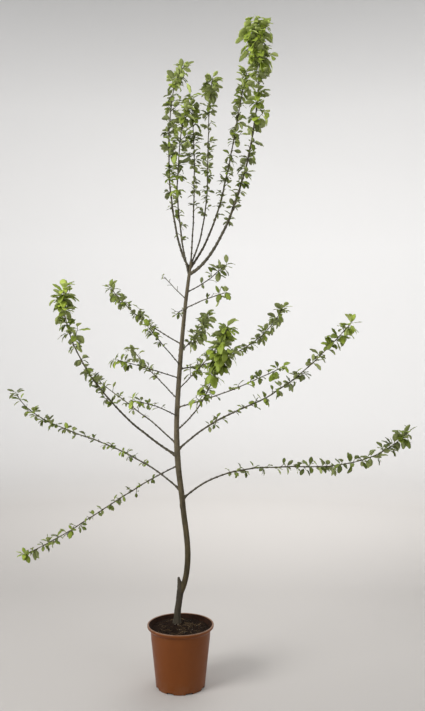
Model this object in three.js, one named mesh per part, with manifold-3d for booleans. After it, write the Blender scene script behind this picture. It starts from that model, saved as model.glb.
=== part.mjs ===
// A young plum tree, 2.2 m tall, in a plastic nursery pot.
// Millimetres, +Z up. The pot stands on Z = 0 with its axis on the Z axis. The long side boughs reach
// out along +X and -X, and -Y is the side that the tree is seen from.
// Each bough and each mass of foliage is one closed solid. Pieces that touch keep a clearance of 0.3 mm.

import * as THREE from "three";
import { mergeVertices } from "three/addons/utils/BufferGeometryUtils.js";
import Module from "manifold-3d";

const wasm = await Module();
wasm.setup();

const CLEARANCE = 0.3;

// Edges shorter than this, left where leaves are fused, are closed up.
const SLIVER = 0.02;

// Driving dimensions of the pot.
const POT = {
  height: 203,
  rimRadius: 110,
  lipDepth: 17,
  lipWidth: 5.5,
  lipRound: 2.4,
  collarRadius: 98.5,
  collarDepth: 52,
  collarTaper: 1.3,
  collarStep: 1.4,
  baseRadius: 80.5,
  wall: 1.8,
  floor: 3,
  sides: 32,
};
const DRAIN = { count: 8, width: 24, height: 5.5, depth: 9, firstTurn: 22.5 };

// The compost lies in soft lumps and rises a little towards the tree.
const COMPOST = {
  edgeHeight: 186,
  mound: 9,
  moundSpread: 62,
  lump: 1.6,
  lumpTurn: [0.11, 0.13],
  rings: 4,
  sides: 24,
};
const SEAT = { margin: 1.5, depth: 40, sides: 20 };

// The rootstock leans out of the compost, swells at the graft and ends in a short cut stub.
// Route points are [across, away, up], and girths are [up, radius]. FOOT is the level cut at the ground.
const FOOT = { across: -14, away: 35, up: 193, radius: 14.5, buried: 12 };
const ROOTSTOCK = {
  route: [
    [FOOT.across, FOOT.away, FOOT.up - FOOT.buried],
    [-11, 33, 235],
    [-5, 31, 280],
    [-2, 29, 312],
    [-8, 28, 349],
  ],
  girth: [
    [FOOT.up, FOOT.radius],
    [212, 11.8],
    [270, 10.6],
    [300, 11.6],
    [318, 10.4],
    [349, 3.4],
  ],
  sides: 10,
  rings: 11,
};

// The scion leaves the side of the rootstock, bows out and comes back over it.
const SCION = {
  route: [
    [0, 28, 292],
    [10, 25, 325],
    [18, 22, 360],
    [22.5, 19, 405],
    [23, 17, 440],
    [19, 13, 495],
    [11, 9, 557],
    [4, 5, 625],
    [-7, 1, 715],
    [-12, 0, 790],
    [-13, 0, 870],
    [-9, 0, 955],
    [-3, 0, 1045],
    [5, 0, 1145],
    [15, 0, 1250],
    [26, 0, 1340],
    [34, 0, 1399],
  ],
  girth: [
    [292, 7],
    [325, 9.6],
    [400, 9.6],
    [560, 9.5],
    [680, 9.3],
    [765, 9.9],
    [850, 8.7],
    [950, 8.2],
    [1050, 7.6],
    [1150, 6.9],
    [1250, 6.2],
    [1340, 5.5],
    [1399, 4.6],
  ],
  sides: 10,
  rings: 36,
};

// Each limb is one Bezier curve from the trunk. foot is its height on the trunk, tip is how far it goes
// [across, away, up] from there, and leave and arrive are its headings at both ends, as [compass, rise] in
// degrees, with compass 0 along +X and 90 along +Y. pull is how far it keeps to each heading, as shares of
// the straight way to its tip, where that isn't EVEN_PULL. radius is its half thickness [at foot, at tip].
// bare is the leafless share of its length, which is the bough; the rest is the stem of its foliage.
// leaf is the length of a full leaf, crowd how many a spur bears near the tip, and thin how full the
// foliage is at its start, as a share of that.
const EVEN_PULL = 1 / 3;
const LIMBS = [
  {
    name: "top_right_outer", foot: 1359, tip: [223, -80, 771], leave: [-20, 20], arrive: [-20, 95],
    radius: [5.2, 1.4], bare: 0.25, leaf: 38, crowd: 5, thin: 0.7, pull: [0.17, 0.42],
  },
  {
    name: "top_right_inner", foot: 1378, tip: [194, 150, 700], leave: [40, 48], arrive: [40, 73],
    radius: [3.9, 1.4], bare: 0.26, leaf: 31, crowd: 4, thin: 0.75,
  },
  {
    name: "top_middle", foot: 1391, tip: [72, 150, 666], leave: [48, 56], arrive: [65, 71],
    radius: [2.8, 1.3], bare: 0.27, leaf: 31, crowd: 4, thin: 0.85,
  },
  {
    name: "leader", foot: 1399, tip: [2, -60, 520], leave: [-45, 84], arrive: [-135, 83],
    radius: [2.7, 1.3], bare: 0.3, leaf: 31, crowd: 4, thin: 0.85,
  },
  {
    name: "top_left_inner", foot: 1355, tip: [-9, -90, 522], leave: [-141, 72], arrive: [-35, 74],
    radius: [3.1, 1.3], bare: 0.2, leaf: 30, crowd: 4, thin: 0.9,
  },
  {
    name: "top_left_outer", foot: 1378, tip: [-30, 90, 694], leave: [152, 46], arrive: [35, 51],
    radius: [3.9, 1.4], bare: 0.28, leaf: 31, crowd: 4, thin: 1.0, pull: [0.18, 0.2],
  },
  {
    name: "right_1", foot: 1300, tip: [127, 100, 98], leave: [42, 20], arrive: [42, 37],
    radius: [2.1, 1.3], bare: 0.32, leaf: 31, crowd: 3, thin: 0.6,
  },
  {
    name: "right_2", foot: 1245, tip: [127, -100, 43], leave: [-40, 20], arrive: [-40, 11],
    radius: [2.1, 1.3], bare: 0.35, leaf: 26, crowd: 3, thin: 0.5,
  },
  {
    name: "right_3", foot: 1106, tip: [86, 240, 123], leave: [70, 17], arrive: [70, 32],
    radius: [2.0, 1.3], bare: 0.08, leaf: 27, crowd: 5, thin: 1.1,
  },
  {
    name: "right_4", foot: 1046, tip: [361, 250, 213], leave: [35, 5], arrive: [35, 57],
    radius: [2.4, 1.3], bare: 0.16, leaf: 28, crowd: 5, thin: 0.8,
  },
  {
    name: "right_5", foot: 978, tip: [142, -150, 160], leave: [-48, 33], arrive: [-48, 44],
    radius: [2.0, 1.3], bare: 0.3, leaf: 26, crowd: 4, thin: 0.7,
  },
  {
    name: "right_6", foot: 918, tip: [330, -150, 134], leave: [-24, 15], arrive: [-24, 26],
    radius: [2.4, 1.3], bare: 0.2, leaf: 24, crowd: 3, thin: 0.1,
  },
  {
    name: "right_7", foot: 843, tip: [157, -420, 316], leave: [-68, 19], arrive: [-72, 63],
    radius: [2.6, 1.3], bare: 0.48, leaf: 32, crowd: 5, thin: 0.8,
  },
  {
    name: "right_8", foot: 776, tip: [545, -140, 409], leave: [-14, 42], arrive: [-14, 48],
    radius: [3.3, 1.3], bare: 0.17, leaf: 30, crowd: 4, thin: 0.5, pull: [0.46, 0.65],
  },
  {
    name: "right_9", foot: 613, tip: [776, 130, 205], leave: [10, 42], arrive: [10, 42],
    radius: [3.1, 1.3], bare: 0.2, leaf: 34, crowd: 4, thin: 0.45, pull: [0.39, 0.41],
  },
  {
    name: "left_1", foot: 1276, tip: [-74, 50, 78], leave: [146, 39], arrive: [146, 45],
    radius: [1.5, 1.2], bare: 0, leaf: 9, crowd: 1, thin: 0,
  },
  {
    name: "left_2", foot: 1239, tip: [-21, -110, -18], leave: [-100, 5], arrive: [-100, -15],
    radius: [1.5, 1.2], bare: 0, leaf: 16, crowd: 2, thin: 0.2,
  },
  {
    name: "left_3", foot: 1127, tip: [-254, 170, 197], leave: [145, 24], arrive: [145, 46],
    radius: [2.2, 1.3], bare: 0.3, leaf: 27, crowd: 5, thin: 0.75,
  },
  {
    name: "left_4", foot: 1058, tip: [-90, -150, 117], leave: [-118, 32], arrive: [-118, 33],
    radius: [2.0, 1.2], bare: 0.5, leaf: 23, crowd: 3, thin: 0.6,
  },
  {
    name: "left_5", foot: 1015, tip: [-194, -90, 61], leave: [-154, 18], arrive: [-154, 15],
    radius: [1.9, 1.2], bare: 0.42, leaf: 23, crowd: 3, thin: 0.5,
  },
  {
    name: "left_6", foot: 945, tip: [-183, 300, 169], leave: [121, 24], arrive: [121, 28],
    radius: [2.2, 1.3], bare: 0.4, leaf: 25, crowd: 3, thin: 0.75,
  },
  {
    name: "left_7", foot: 890, tip: [-116, -260, 65], leave: [-114, 18], arrive: [-112, 6],
    radius: [2.0, 1.2], bare: 0.35, leaf: 20, crowd: 2, thin: 0.4,
  },
  {
    name: "left_8", foot: 796, tip: [-301, 200, 221], leave: [145, 35], arrive: [145, 44],
    radius: [2.7, 1.3], bare: 0.32, leaf: 22, crowd: 3, thin: 0.4, pull: [0.55, 0.2],
  },
  {
    name: "left_9", foot: 757, tip: [-358, -100, 540], leave: [-164, 32], arrive: [-164, 93],
    radius: [4.0, 1.4], bare: 0.4, leaf: 34, crowd: 5, thin: 0.6,
  },
  {
    name: "left_10", foot: 640, tip: [-570, 100, 315], leave: [170, 43], arrive: [170, 59],
    radius: [3.0, 1.3], bare: 0.2, leaf: 24, crowd: 3, thin: 1.0, pull: [0.44, 0.26],
  },
  {
    name: "left_11", foot: 726, tip: [-450, -210, -237], leave: [-155, -19], arrive: [-155, -19],
    radius: [2.4, 1.3], bare: 0.16, leaf: 22, crowd: 4, thin: 0.55,
  },
];

// How foliage grows. Spurs stand along the stem on its two-fifths spiral, and lean forwards and up. A spur's
// leaves stand on its outer side, left and right in turn. The last spur is the bud at the stem's end, and
// its leaves follow the golden angle. Pairs of numbers are [least, most], and angles are in degrees.
const SPUR = {
  gap: 52,
  wander: 0.3,
  spiral: 144,
  turnWander: 25,
  lean: { forward: 0.6, outward: 0.85, up: 0.2 },
  length: [8.4, 19.6],
  radius: 1.4,
  slimness: 0.7,
  fullness: [0.7, 1.3],
  mostLeaves: 2,
  topLeaf: 0.55,
  lowestLeaf: 0.1,
  leafGap: 0.22,
};
const BUD = { length: 16.8, sunk: 3, mostLeaves: 4, extraLeaves: 1 };

// A leaf of these solids stands for two or three of the tree's, so it is larger than life by its swell.
const LEAF = {
  width: 0.58,
  middle: 0.52,
  thickness: 0.045,
  fold: 0.09,
  droop: 0.12,
  facing: 0.5,
  turn: [20, 110],
  opening: { first: [12, 45], other: [38, 72] },
  size: [0.75, 1.2],
  growth: [0.64, 1.16],
  swell: 1.3,
};
const GOLDEN_ANGLE = 137.5;
const SPACE_MARGIN = 1.5;
const STEM = { sides: 4, stretch: 90 };
const BOUGH = { sides: 6, stretch: 45 };

const COLOURS = {
  pot: { color: 0x7c4223, roughness: 0.55, metalness: 0 },
  compost: { color: 0x2a1c14, roughness: 1, metalness: 0 },
  bark: { color: 0x5a4c42, roughness: 0.85, metalness: 0 },
  leaf: { color: 0x62803a, roughness: 0.6, metalness: 0 },
};

const UP = new THREE.Vector3(0, 0, 1);
const degrees = THREE.MathUtils.degToRad;
const lerp = THREE.MathUtils.lerp;
const between = ([least, most], share) => lerp(least, most, share);

// Repeatable random numbers from 0 to 1: a linear congruential generator that both seeds are mixed into.
function seeded(first, second) {
  let state = (Math.imul(first + 1, 2654435761) + Math.imul(second + 1, 40503)) >>> 0;
  const next = () => {
    state = (Math.imul(state, 1664525) + 1013904223) >>> 0;
    return state / 4294967296;
  };
  next();
  next();
  return next;
}

// A closed geometry as a solid: shared vertices are merged and collapsed faces dropped.
function solidOf(geometry) {
  const bare = geometry.clone();
  bare.deleteAttribute("normal");
  bare.deleteAttribute("uv");
  const merged = mergeVertices(bare, 1e-4);
  const index = merged.index.array;
  const kept = [];
  for (let i = 0; i < index.length; i += 3) {
    const [a, b, c] = [index[i], index[i + 1], index[i + 2]];
    if (a !== b && b !== c && c !== a) kept.push(a, b, c);
  }
  return new wasm.Manifold(
    new wasm.Mesh({
      numProp: 3,
      vertProperties: new Float32Array(merged.attributes.position.array),
      triVerts: new Uint32Array(kept),
    }),
  );
}

// The main body of a solid: a loose scrap is dropped and a sealed hollow is filled.
function mainBody(solid) {
  const bodies = solid.decompose();
  return bodies.reduce((best, body) => (body.volume() > best.volume() ? body : best));
}

function meshOf(name, solid, colour) {
  const made = solid.getMesh();
  const geometry = new THREE.BufferGeometry();
  geometry.setAttribute("position", new THREE.BufferAttribute(new Float32Array(made.vertProperties), 3));
  geometry.setIndex(new THREE.BufferAttribute(new Uint32Array(made.triVerts), 1));
  geometry.computeVertexNormals();
  const mesh = new THREE.Mesh(geometry, new THREE.MeshStandardMaterial(COLOURS[colour]));
  mesh.name = name;
  return mesh;
}

// A compass heading and a rise, both in degrees, as a direction.
function heading([compass, rise]) {
  const flat = Math.cos(degrees(rise));
  return new THREE.Vector3(
    flat * Math.cos(degrees(compass)),
    flat * Math.sin(degrees(compass)),
    Math.sin(degrees(rise)),
  );
}

// Two directions square to a tangent: one towards a reference direction, and the one that completes the set.
function squareTo(tangent, reference) {
  const side = reference.clone().addScaledVector(tangent, -reference.dot(tangent)).normalize();
  return [side, side.clone().cross(tangent)];
}

// A closed cylinder bent along a curve between two shares of its length, with a radius that varies along it.
function bentTube({ curve, from = 0, to = 1, radiusAt, sides, rings, reference }) {
  const tube = new THREE.CylinderGeometry(1, 1, 1, sides, rings);
  const position = tube.attributes.position;
  for (let i = 0; i < position.count; i++) {
    const share = lerp(from, to, position.getY(i) + 0.5);
    const tangent = curve.getTangentAt(share);
    const [side, across] = squareTo(tangent, reference);
    const radius = radiusAt(share);
    const point = curve
      .getPointAt(share)
      .addScaledVector(side, position.getX(i) * radius)
      .addScaledVector(across, position.getZ(i) * radius);
    position.setXYZ(i, point.x, point.y, point.z);
  }
  return solidOf(tube);
}

// Linear reading of a list of [key, value] pairs.
function readOff(pairs, key) {
  for (let i = 1; i < pairs.length; i++) {
    const [k0, v0] = pairs[i - 1];
    const [k1, v1] = pairs[i];
    if (key <= k1) return lerp(v0, v1, THREE.MathUtils.clamp((key - k0) / (k1 - k0), 0, 1));
  }
  return pairs.at(-1)[1];
}

// Where the pot's plain wall ends, under the collar band.
const WALL_TOP = {
  radius: POT.collarRadius - POT.collarTaper - POT.collarStep,
  height: POT.height - POT.collarDepth,
};

// The pot: one revolved wall with a rolled lip, a collar band and a floor, and drain slots at its foot.
function makePot() {
  const { height, rimRadius, lipDepth, lipWidth, lipRound, baseRadius, wall, floor, sides } = POT;
  const lipFoot = height - lipDepth;
  const profile = [
    [0, 0],
    [baseRadius, 0],
    [WALL_TOP.radius, WALL_TOP.height - POT.collarStep],
    [WALL_TOP.radius + POT.collarStep, WALL_TOP.height],
    [POT.collarRadius, lipFoot],
    [rimRadius - lipRound / 2, height - lipDepth / 2],
    [rimRadius, height - 2 * lipRound],
    [rimRadius - lipRound / 4, height - lipRound / 2],
    [rimRadius - lipRound, height],
    [rimRadius - lipWidth, height - lipRound / 4],
    [rimRadius - lipWidth - lipRound / 2, height - 2 * lipRound],
    [POT.collarRadius - wall, lipFoot],
    [WALL_TOP.radius + POT.collarStep - wall, WALL_TOP.height],
    [baseRadius - wall, floor],
    [0, floor],
  ].map(([r, z]) => new THREE.Vector2(r, z));
  let pot = solidOf(new THREE.LatheGeometry(profile, sides).rotateX(Math.PI / 2));
  for (let i = 0; i < DRAIN.count; i++) {
    const slot = new THREE.BoxGeometry(2 * DRAIN.depth, DRAIN.width, 2 * DRAIN.height)
      .translate(baseRadius, 0, 0)
      .rotateZ(degrees(DRAIN.firstTurn + (i * 360) / DRAIN.count));
    pot = pot.subtract(solidOf(slot));
  }
  return pot;
}

// The compost fills the pot. Its top is mounded round the tree, with a level seat for the trunk's foot.
function makeCompost() {
  const { edgeHeight, mound, moundSpread, lump, lumpTurn, rings, sides } = COMPOST;
  const bottom = POT.floor + CLEARANCE;
  const insideWall = POT.wall + 3 * CLEARANCE;
  const topRadius = WALL_TOP.radius - insideWall;
  const profile = [
    [0, bottom],
    [POT.baseRadius - insideWall, bottom],
    [topRadius, WALL_TOP.height],
    [topRadius, edgeHeight],
  ];
  for (let ring = rings - 1; ring >= 0; ring--) profile.push([(topRadius * ring) / rings, edgeHeight]);
  const lathe = new THREE.LatheGeometry(
    profile.map(([r, z]) => new THREE.Vector2(r, z)),
    sides,
  ).rotateX(Math.PI / 2);
  const position = lathe.attributes.position;
  for (let i = 0; i < position.count; i++) {
    const [x, y, z] = [position.getX(i), position.getY(i), position.getZ(i)];
    if (z < edgeHeight) continue;
    const fromFoot = Math.hypot(x - FOOT.across, y - FOOT.away) / moundSpread;
    const lumps = lump * Math.sin(x * lumpTurn[0]) * Math.cos(y * lumpTurn[1]);
    position.setZ(i, z + mound * Math.exp(-fromFoot * fromFoot) + lumps);
  }
  const seatRadius = FOOT.radius + SEAT.margin;
  const seat = new THREE.CylinderGeometry(seatRadius, seatRadius, SEAT.depth, SEAT.sides)
    .rotateX(Math.PI / 2)
    .translate(FOOT.across, FOOT.away, FOOT.up - CLEARANCE + SEAT.depth / 2);
  return solidOf(lathe).subtract(solidOf(seat));
}

// The trunk: rootstock and scion fused. They grow by an allowance where they serve as a cutting tool.
const WESTWARD = new THREE.Vector3(-1, 0, 0);

function routeCurve(route) {
  return new THREE.CatmullRomCurve3(route.map((p) => new THREE.Vector3(...p)));
}

function makeTrunk(allowance = 0) {
  const legs = [ROOTSTOCK, SCION].map(({ route, girth, sides, rings }) => {
    const [across, away, up] = route.at(-1);
    const curve = routeCurve([...route.slice(0, -1), [across, away, up + allowance]]);
    return bentTube({
      curve,
      radiusAt: (share) => readOff(girth, curve.getPointAt(share).z) + allowance,
      sides,
      rings,
      reference: WESTWARD,
    });
  });
  const below = 4 * FOOT.radius;
  const ground = new THREE.BoxGeometry(below, below, below);
  ground.translate(FOOT.across, FOOT.away, FOOT.up - below / 2);
  return legs[0].add(legs[1]).subtract(solidOf(ground));
}

const scionCurve = routeCurve(SCION.route);

// The point of the trunk's axis at a height, found by halving.
function trunkAxisAt(height) {
  let [low, high] = [0, 1];
  for (let i = 0; i < 30; i++) {
    const middle = (low + high) / 2;
    if (scionCurve.getPointAt(middle).z < height) low = middle;
    else high = middle;
  }
  return scionCurve.getPointAt(low);
}

// A limb's curve and measures, worked out from its row in LIMBS.
function layOut(row, number) {
  const foot = trunkAxisAt(row.foot);
  const tip = foot.clone().add(new THREE.Vector3(...row.tip));
  const straight = foot.distanceTo(tip);
  const [leaving, arriving] = row.pull ?? [EVEN_PULL, EVEN_PULL];
  const curve = new THREE.CubicBezierCurve3(
    foot,
    foot.clone().addScaledVector(heading(row.leave), leaving * straight),
    tip.clone().addScaledVector(heading(row.arrive), -arriving * straight),
    tip,
  );
  const [compass] = row.leave;
  return {
    ...row,
    number,
    curve,
    length: curve.getLength(),
    radiusAt: (share) => lerp(row.radius[0], row.radius[1], Math.pow(share, 0.8)),
    reference: heading([compass + 90, 0]),
  };
}

// Distance from a point to a limb's bark between two shares of its length, by straight stretches.
const STRETCHES = 24;

function clearanceTo(limb, point, from = 0, to = 1) {
  limb.samples ??= Array.from({ length: STRETCHES + 1 }, (_, i) => limb.curve.getPointAt(i / STRETCHES));
  const nearest = new THREE.Vector3();
  let best = Infinity;
  for (let i = 0; i < STRETCHES; i++) {
    const [start, end] = [i / STRETCHES, (i + 1) / STRETCHES];
    if (end <= from || start >= to) continue;
    new THREE.Line3(limb.samples[i], limb.samples[i + 1]).closestPointToPoint(point, true, nearest);
    best = Math.min(best, nearest.distanceTo(point) - limb.radiusAt(start));
  }
  return best;
}

// A leaf: eight faces, folded a little along its midrib, from a root that is sunk in its spur.
function leafPoints({ root, direction, normal, length }) {
  const along = direction.clone().multiplyScalar(length);
  const across = normal.clone().cross(direction).multiplyScalar((length * LEAF.width) / 2);
  const middle = root.clone().addScaledVector(along, LEAF.middle);
  const keel = middle.clone().addScaledVector(normal, -LEAF.fold * length);
  return {
    tip: root.clone().add(along),
    left: middle.clone().add(across),
    right: middle.clone().sub(across),
    upper: keel.clone().addScaledVector(normal, LEAF.thickness * length),
    lower: keel,
    root,
  };
}

function leafSolid(leaf) {
  const { root, tip, left, right, upper, lower } = leafPoints(leaf);
  const octahedron = new THREE.OctahedronGeometry(1, 0);
  const position = octahedron.attributes.position;
  for (let i = 0; i < position.count; i++) {
    const [x, y, z] = [position.getX(i), position.getY(i), position.getZ(i)];
    const [lengthways, sideways, through] = [x, y, z].map(Math.round);
    const corner =
      (lengthways && (lengthways > 0 ? tip : root)) ||
      (sideways && (sideways > 0 ? left : right)) ||
      (through > 0 ? upper : lower);
    position.setXYZ(i, corner.x, corner.y, corner.z);
  }
  return solidOf(octahedron);
}

// The spurs of a limb's foliage and the leaves on each, by the seeded rule.
function growSpurs(limb) {
  const count = Math.max(1, Math.round((limb.length * (1 - limb.bare)) / SPUR.gap));
  return Array.from({ length: count + 1 }, (_, k) => {
    const random = seeded(limb.number, k);
    const isBud = k === count;
    const place = isBud ? 1 : (k + 0.5 + SPUR.wander * (2 * random() - 1)) / count;
    const share = isBud ? 1 - BUD.sunk / limb.length : lerp(limb.bare, 1, place);
    const tangent = limb.curve.getTangentAt(share);
    const [side, across] = squareTo(tangent, limb.reference);
    const around = degrees(k * SPUR.spiral + SPUR.turnWander * (2 * random() - 1));
    const outward = side.multiplyScalar(Math.cos(around)).addScaledVector(across, Math.sin(around));
    const direction = tangent.clone();
    if (!isBud) {
      direction
        .multiplyScalar(SPUR.lean.forward)
        .addScaledVector(outward, SPUR.lean.outward)
        .addScaledVector(UP, SPUR.lean.up)
        .normalize();
    }
    const spur = {
      isBud,
      place,
      outward,
      direction,
      root: limb.curve.getPointAt(share),
      length: isBud ? BUD.length : between(SPUR.length, random()),
      radius: Math.min(SPUR.radius, SPUR.slimness * limb.radiusAt(share)),
    };
    const fullness = lerp(limb.thin, 1, Math.pow(place, 1.2)) * between(SPUR.fullness, random());
    const wanted = isBud ? limb.crowd + BUD.extraLeaves : Math.round(limb.crowd * fullness);
    const most = isBud ? BUD.mostLeaves : SPUR.mostLeaves;
    spur.leaves = Array.from({ length: Math.min(wanted, most) }, (_, j) => growLeaf(limb, spur, j, random));
    return spur;
  });
}

function growLeaf(limb, spur, j, random) {
  const [side, across] = squareTo(spur.direction, spur.outward);
  const turn = between(LEAF.turn, random());
  const around = degrees(spur.isBud ? j * GOLDEN_ANGLE + turn : (j % 2 ? -1 : 1) * turn);
  const open = degrees(between(j === 0 ? LEAF.opening.first : LEAF.opening.other, random()));
  const direction = spur.direction
    .clone()
    .multiplyScalar(Math.cos(open))
    .addScaledVector(side, Math.sin(open) * Math.cos(around))
    .addScaledVector(across, Math.sin(open) * Math.sin(around))
    .addScaledVector(UP, -LEAF.droop)
    .normalize();
  const normal = new THREE.Vector3(random() - 0.5, random() - 0.5, LEAF.facing * (1 + random()));
  normal.addScaledVector(spur.direction, LEAF.facing);
  normal.addScaledVector(direction, -normal.dot(direction)).normalize();
  const height = Math.max(SPUR.lowestLeaf, SPUR.topLeaf - SPUR.leafGap * j) * spur.length;
  return {
    root: spur.root.clone().addScaledVector(spur.direction, height),
    direction,
    normal,
    length: limb.leaf * LEAF.swell * between(LEAF.growth, spur.place) * between(LEAF.size, random()),
  };
}

// Whether points keep to their own limb's space: nearer to its stem than to any other limb, off its bough.
function keepsToItsSpace(points, limb, limbs) {
  return points.every((point) => {
    if (limb.bare > 0 && clearanceTo(limb, point, 0, limb.bare) < 2 * SPACE_MARGIN) return false;
    const own = clearanceTo(limb, point, limb.bare, 1);
    return limbs.every((other) => other === limb || clearanceTo(other, point) > own + SPACE_MARGIN);
  });
}

// A mass of foliage: the stem that carries the limb on, the spurs on it and their leaves, fused.
function makeFoliage(limb, limbs, cutTool) {
  const stemLength = limb.length * (1 - limb.bare);
  const stem = bentTube({
    ...limb,
    from: limb.bare > 0 ? limb.bare + CLEARANCE / limb.length : 0,
    sides: STEM.sides,
    rings: Math.max(2, Math.round(stemLength / STEM.stretch)),
  });
  const pieces = [limb.bare > 0 ? stem : stem.subtract(cutTool)];
  for (const spur of growSpurs(limb)) {
    const tip = spur.root.clone().addScaledVector(spur.direction, spur.length);
    if (!keepsToItsSpace([tip], limb, limbs)) continue;
    const leaves = spur.leaves.filter((leaf) => {
      const { tip: end, left, right, upper } = leafPoints(leaf);
      return keepsToItsSpace([end, left, right, upper], limb, limbs);
    });
    if (!leaves.length) continue;
    const line = new THREE.LineCurve3(spur.root, tip);
    const radiusAt = (share) => (1 - share) * spur.radius;
    pieces.push(bentTube({ curve: line, radiusAt, sides: 3, rings: 1, reference: limb.reference }));
    pieces.push(...leaves.map(leafSolid));
  }
  return mainBody(wasm.Manifold.union(pieces).simplify(SLIVER));
}

// The whole tree: limbs are cut clear of the trunk and of those made before them.
const tree = new THREE.Group();
tree.add(meshOf("pot", makePot(), "pot"));
tree.add(meshOf("compost", makeCompost(), "compost"));
tree.add(meshOf("trunk", makeTrunk(), "bark"));

const trunkLimb = {
  curve: scionCurve,
  radiusAt: (share) => readOff(SCION.girth, scionCurve.getPointAt(share).z),
};
const limbs = LIMBS.map(layOut);
const everyLimb = [...limbs, trunkLimb];
let cutTool = makeTrunk(CLEARANCE);

for (const limb of limbs) {
  if (limb.bare === 0) continue;
  const rings = Math.max(2, Math.round((limb.length * limb.bare) / BOUGH.stretch));
  const bough = bentTube({ ...limb, to: limb.bare, sides: BOUGH.sides, rings });
  tree.add(meshOf("bough_" + limb.name, mainBody(bough.subtract(cutTool)), "bark"));
  const grown = { ...limb, radiusAt: (share) => limb.radiusAt(share) + CLEARANCE };
  cutTool = cutTool.add(bentTube({ ...grown, to: limb.bare, sides: BOUGH.sides, rings }));
}
for (const limb of limbs) {
  tree.add(meshOf("leaves_" + limb.name, makeFoliage(limb, everyLimb, cutTool), "leaf"));
}

export default tree;
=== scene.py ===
"""The looks of a young plum tree, 2.2 m tall, in a plastic nursery pot.

Lengths are in millimetres until a mesh is made, and +Z is up. The pot stands on Z = 0 with its axis on the
Z axis, the long side boughs reach out along +X and -X, and the camera looks along +Y.
"""

from math import ceil, cos, pi, radians, sin, sqrt
from types import SimpleNamespace as Record

import bpy
import numpy as np
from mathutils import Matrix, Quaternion, Vector, noise


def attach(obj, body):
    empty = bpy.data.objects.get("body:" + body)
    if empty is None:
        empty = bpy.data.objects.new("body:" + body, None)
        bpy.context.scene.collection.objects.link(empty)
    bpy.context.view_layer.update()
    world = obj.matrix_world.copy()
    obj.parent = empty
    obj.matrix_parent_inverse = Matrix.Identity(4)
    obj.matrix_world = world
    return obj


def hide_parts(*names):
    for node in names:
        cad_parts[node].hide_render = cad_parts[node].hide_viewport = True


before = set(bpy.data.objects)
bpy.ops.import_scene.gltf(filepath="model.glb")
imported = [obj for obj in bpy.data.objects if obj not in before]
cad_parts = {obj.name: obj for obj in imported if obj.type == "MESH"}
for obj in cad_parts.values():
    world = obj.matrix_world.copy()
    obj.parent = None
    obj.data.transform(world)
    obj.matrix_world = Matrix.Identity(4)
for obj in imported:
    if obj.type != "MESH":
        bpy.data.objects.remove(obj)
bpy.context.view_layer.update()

MM = 0.001
UP = np.array([0.0, 0.0, 1.0])
WESTWARD = np.array([-1.0, 0.0, 0.0])

# Camera

# The picture was taken level with the middle of the tree, from 2.5 m in front of it. Its height and focal
# length are in pixels, the sensor is in millimetres and the farthest point shown is in metres.
PICTURE = Record(high=711, focal_length=768, sensor=36.0, farthest=60.0)
EYE = (105.5, -2540.0, 1090.0)


def link(name, data):
    made = bpy.data.objects.new(name, data)
    bpy.context.scene.collection.objects.link(made)
    return made


def make_camera():
    data = bpy.data.cameras.new("camera")
    data.sensor_width = PICTURE.sensor
    data.lens = PICTURE.sensor * PICTURE.focal_length / PICTURE.high
    data.clip_end = PICTURE.farthest
    camera = link("camera", data)
    camera.location = np.array(EYE) * MM
    camera.rotation_euler = (pi / 2, 0, 0)
    bpy.context.scene.camera = camera


make_camera()

# The plant's driving dimensions

POT = Record(
    height=203, rim_radius=110, lip_depth=17, lip_width=5.5, lip_round=2.4,
    collar_radius=98.5, collar_depth=52, collar_taper=1.3, collar_step=1.4,
    base_radius=80.5, wall=1.8, floor=3, sides=192, longest_step=9.0, sharp_from=40,
    soiled_to=0.7,
)
DRAIN = Record(count=8, width=24, height=5.5, depth=9, first_turn=22.5, round=2.6, arc_step=18)
COMPOST = Record(edge_height=186, mound=9, mound_spread=62, lump=1.6, lump_turn=(0.11, 0.13))

# Route points are [across, away, up], and girths are [up, radius]. FOOT is the level cut at the ground.
FOOT = Record(across=-14, away=35, up=193, radius=14.5, buried=12)
ROOTSTOCK = Record(
    route=[(FOOT.across, FOOT.away, FOOT.up - FOOT.buried), (-11, 33, 235), (-5, 31, 280),
              (-2, 29, 312), (-8, 28, 349)],
    girth=[(FOOT.up, FOOT.radius), (212, 11.8), (270, 10.6), (300, 11.6), (318, 10.4), (349, 3.4)],
)
SCION = Record(
    route=[(0, 28, 292), (10, 25, 325), (18, 22, 360), (22.5, 19, 405), (23, 17, 440), (19, 13, 495),
              (11, 9, 557), (4, 5, 625), (-7, 1, 715), (-12, 0, 790), (-13, 0, 870), (-9, 0, 955),
              (-3, 0, 1045), (5, 0, 1145), (15, 0, 1250), (26, 0, 1340), (34, 0, 1399)],
    girth=[(292, 7), (325, 9.6), (400, 9.6), (560, 9.5), (680, 9.3), (765, 9.9), (850, 8.7), (950, 8.2),
              (1050, 7.6), (1150, 6.9), (1250, 6.2), (1340, 5.5), (1399, 4.6)],
)

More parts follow.
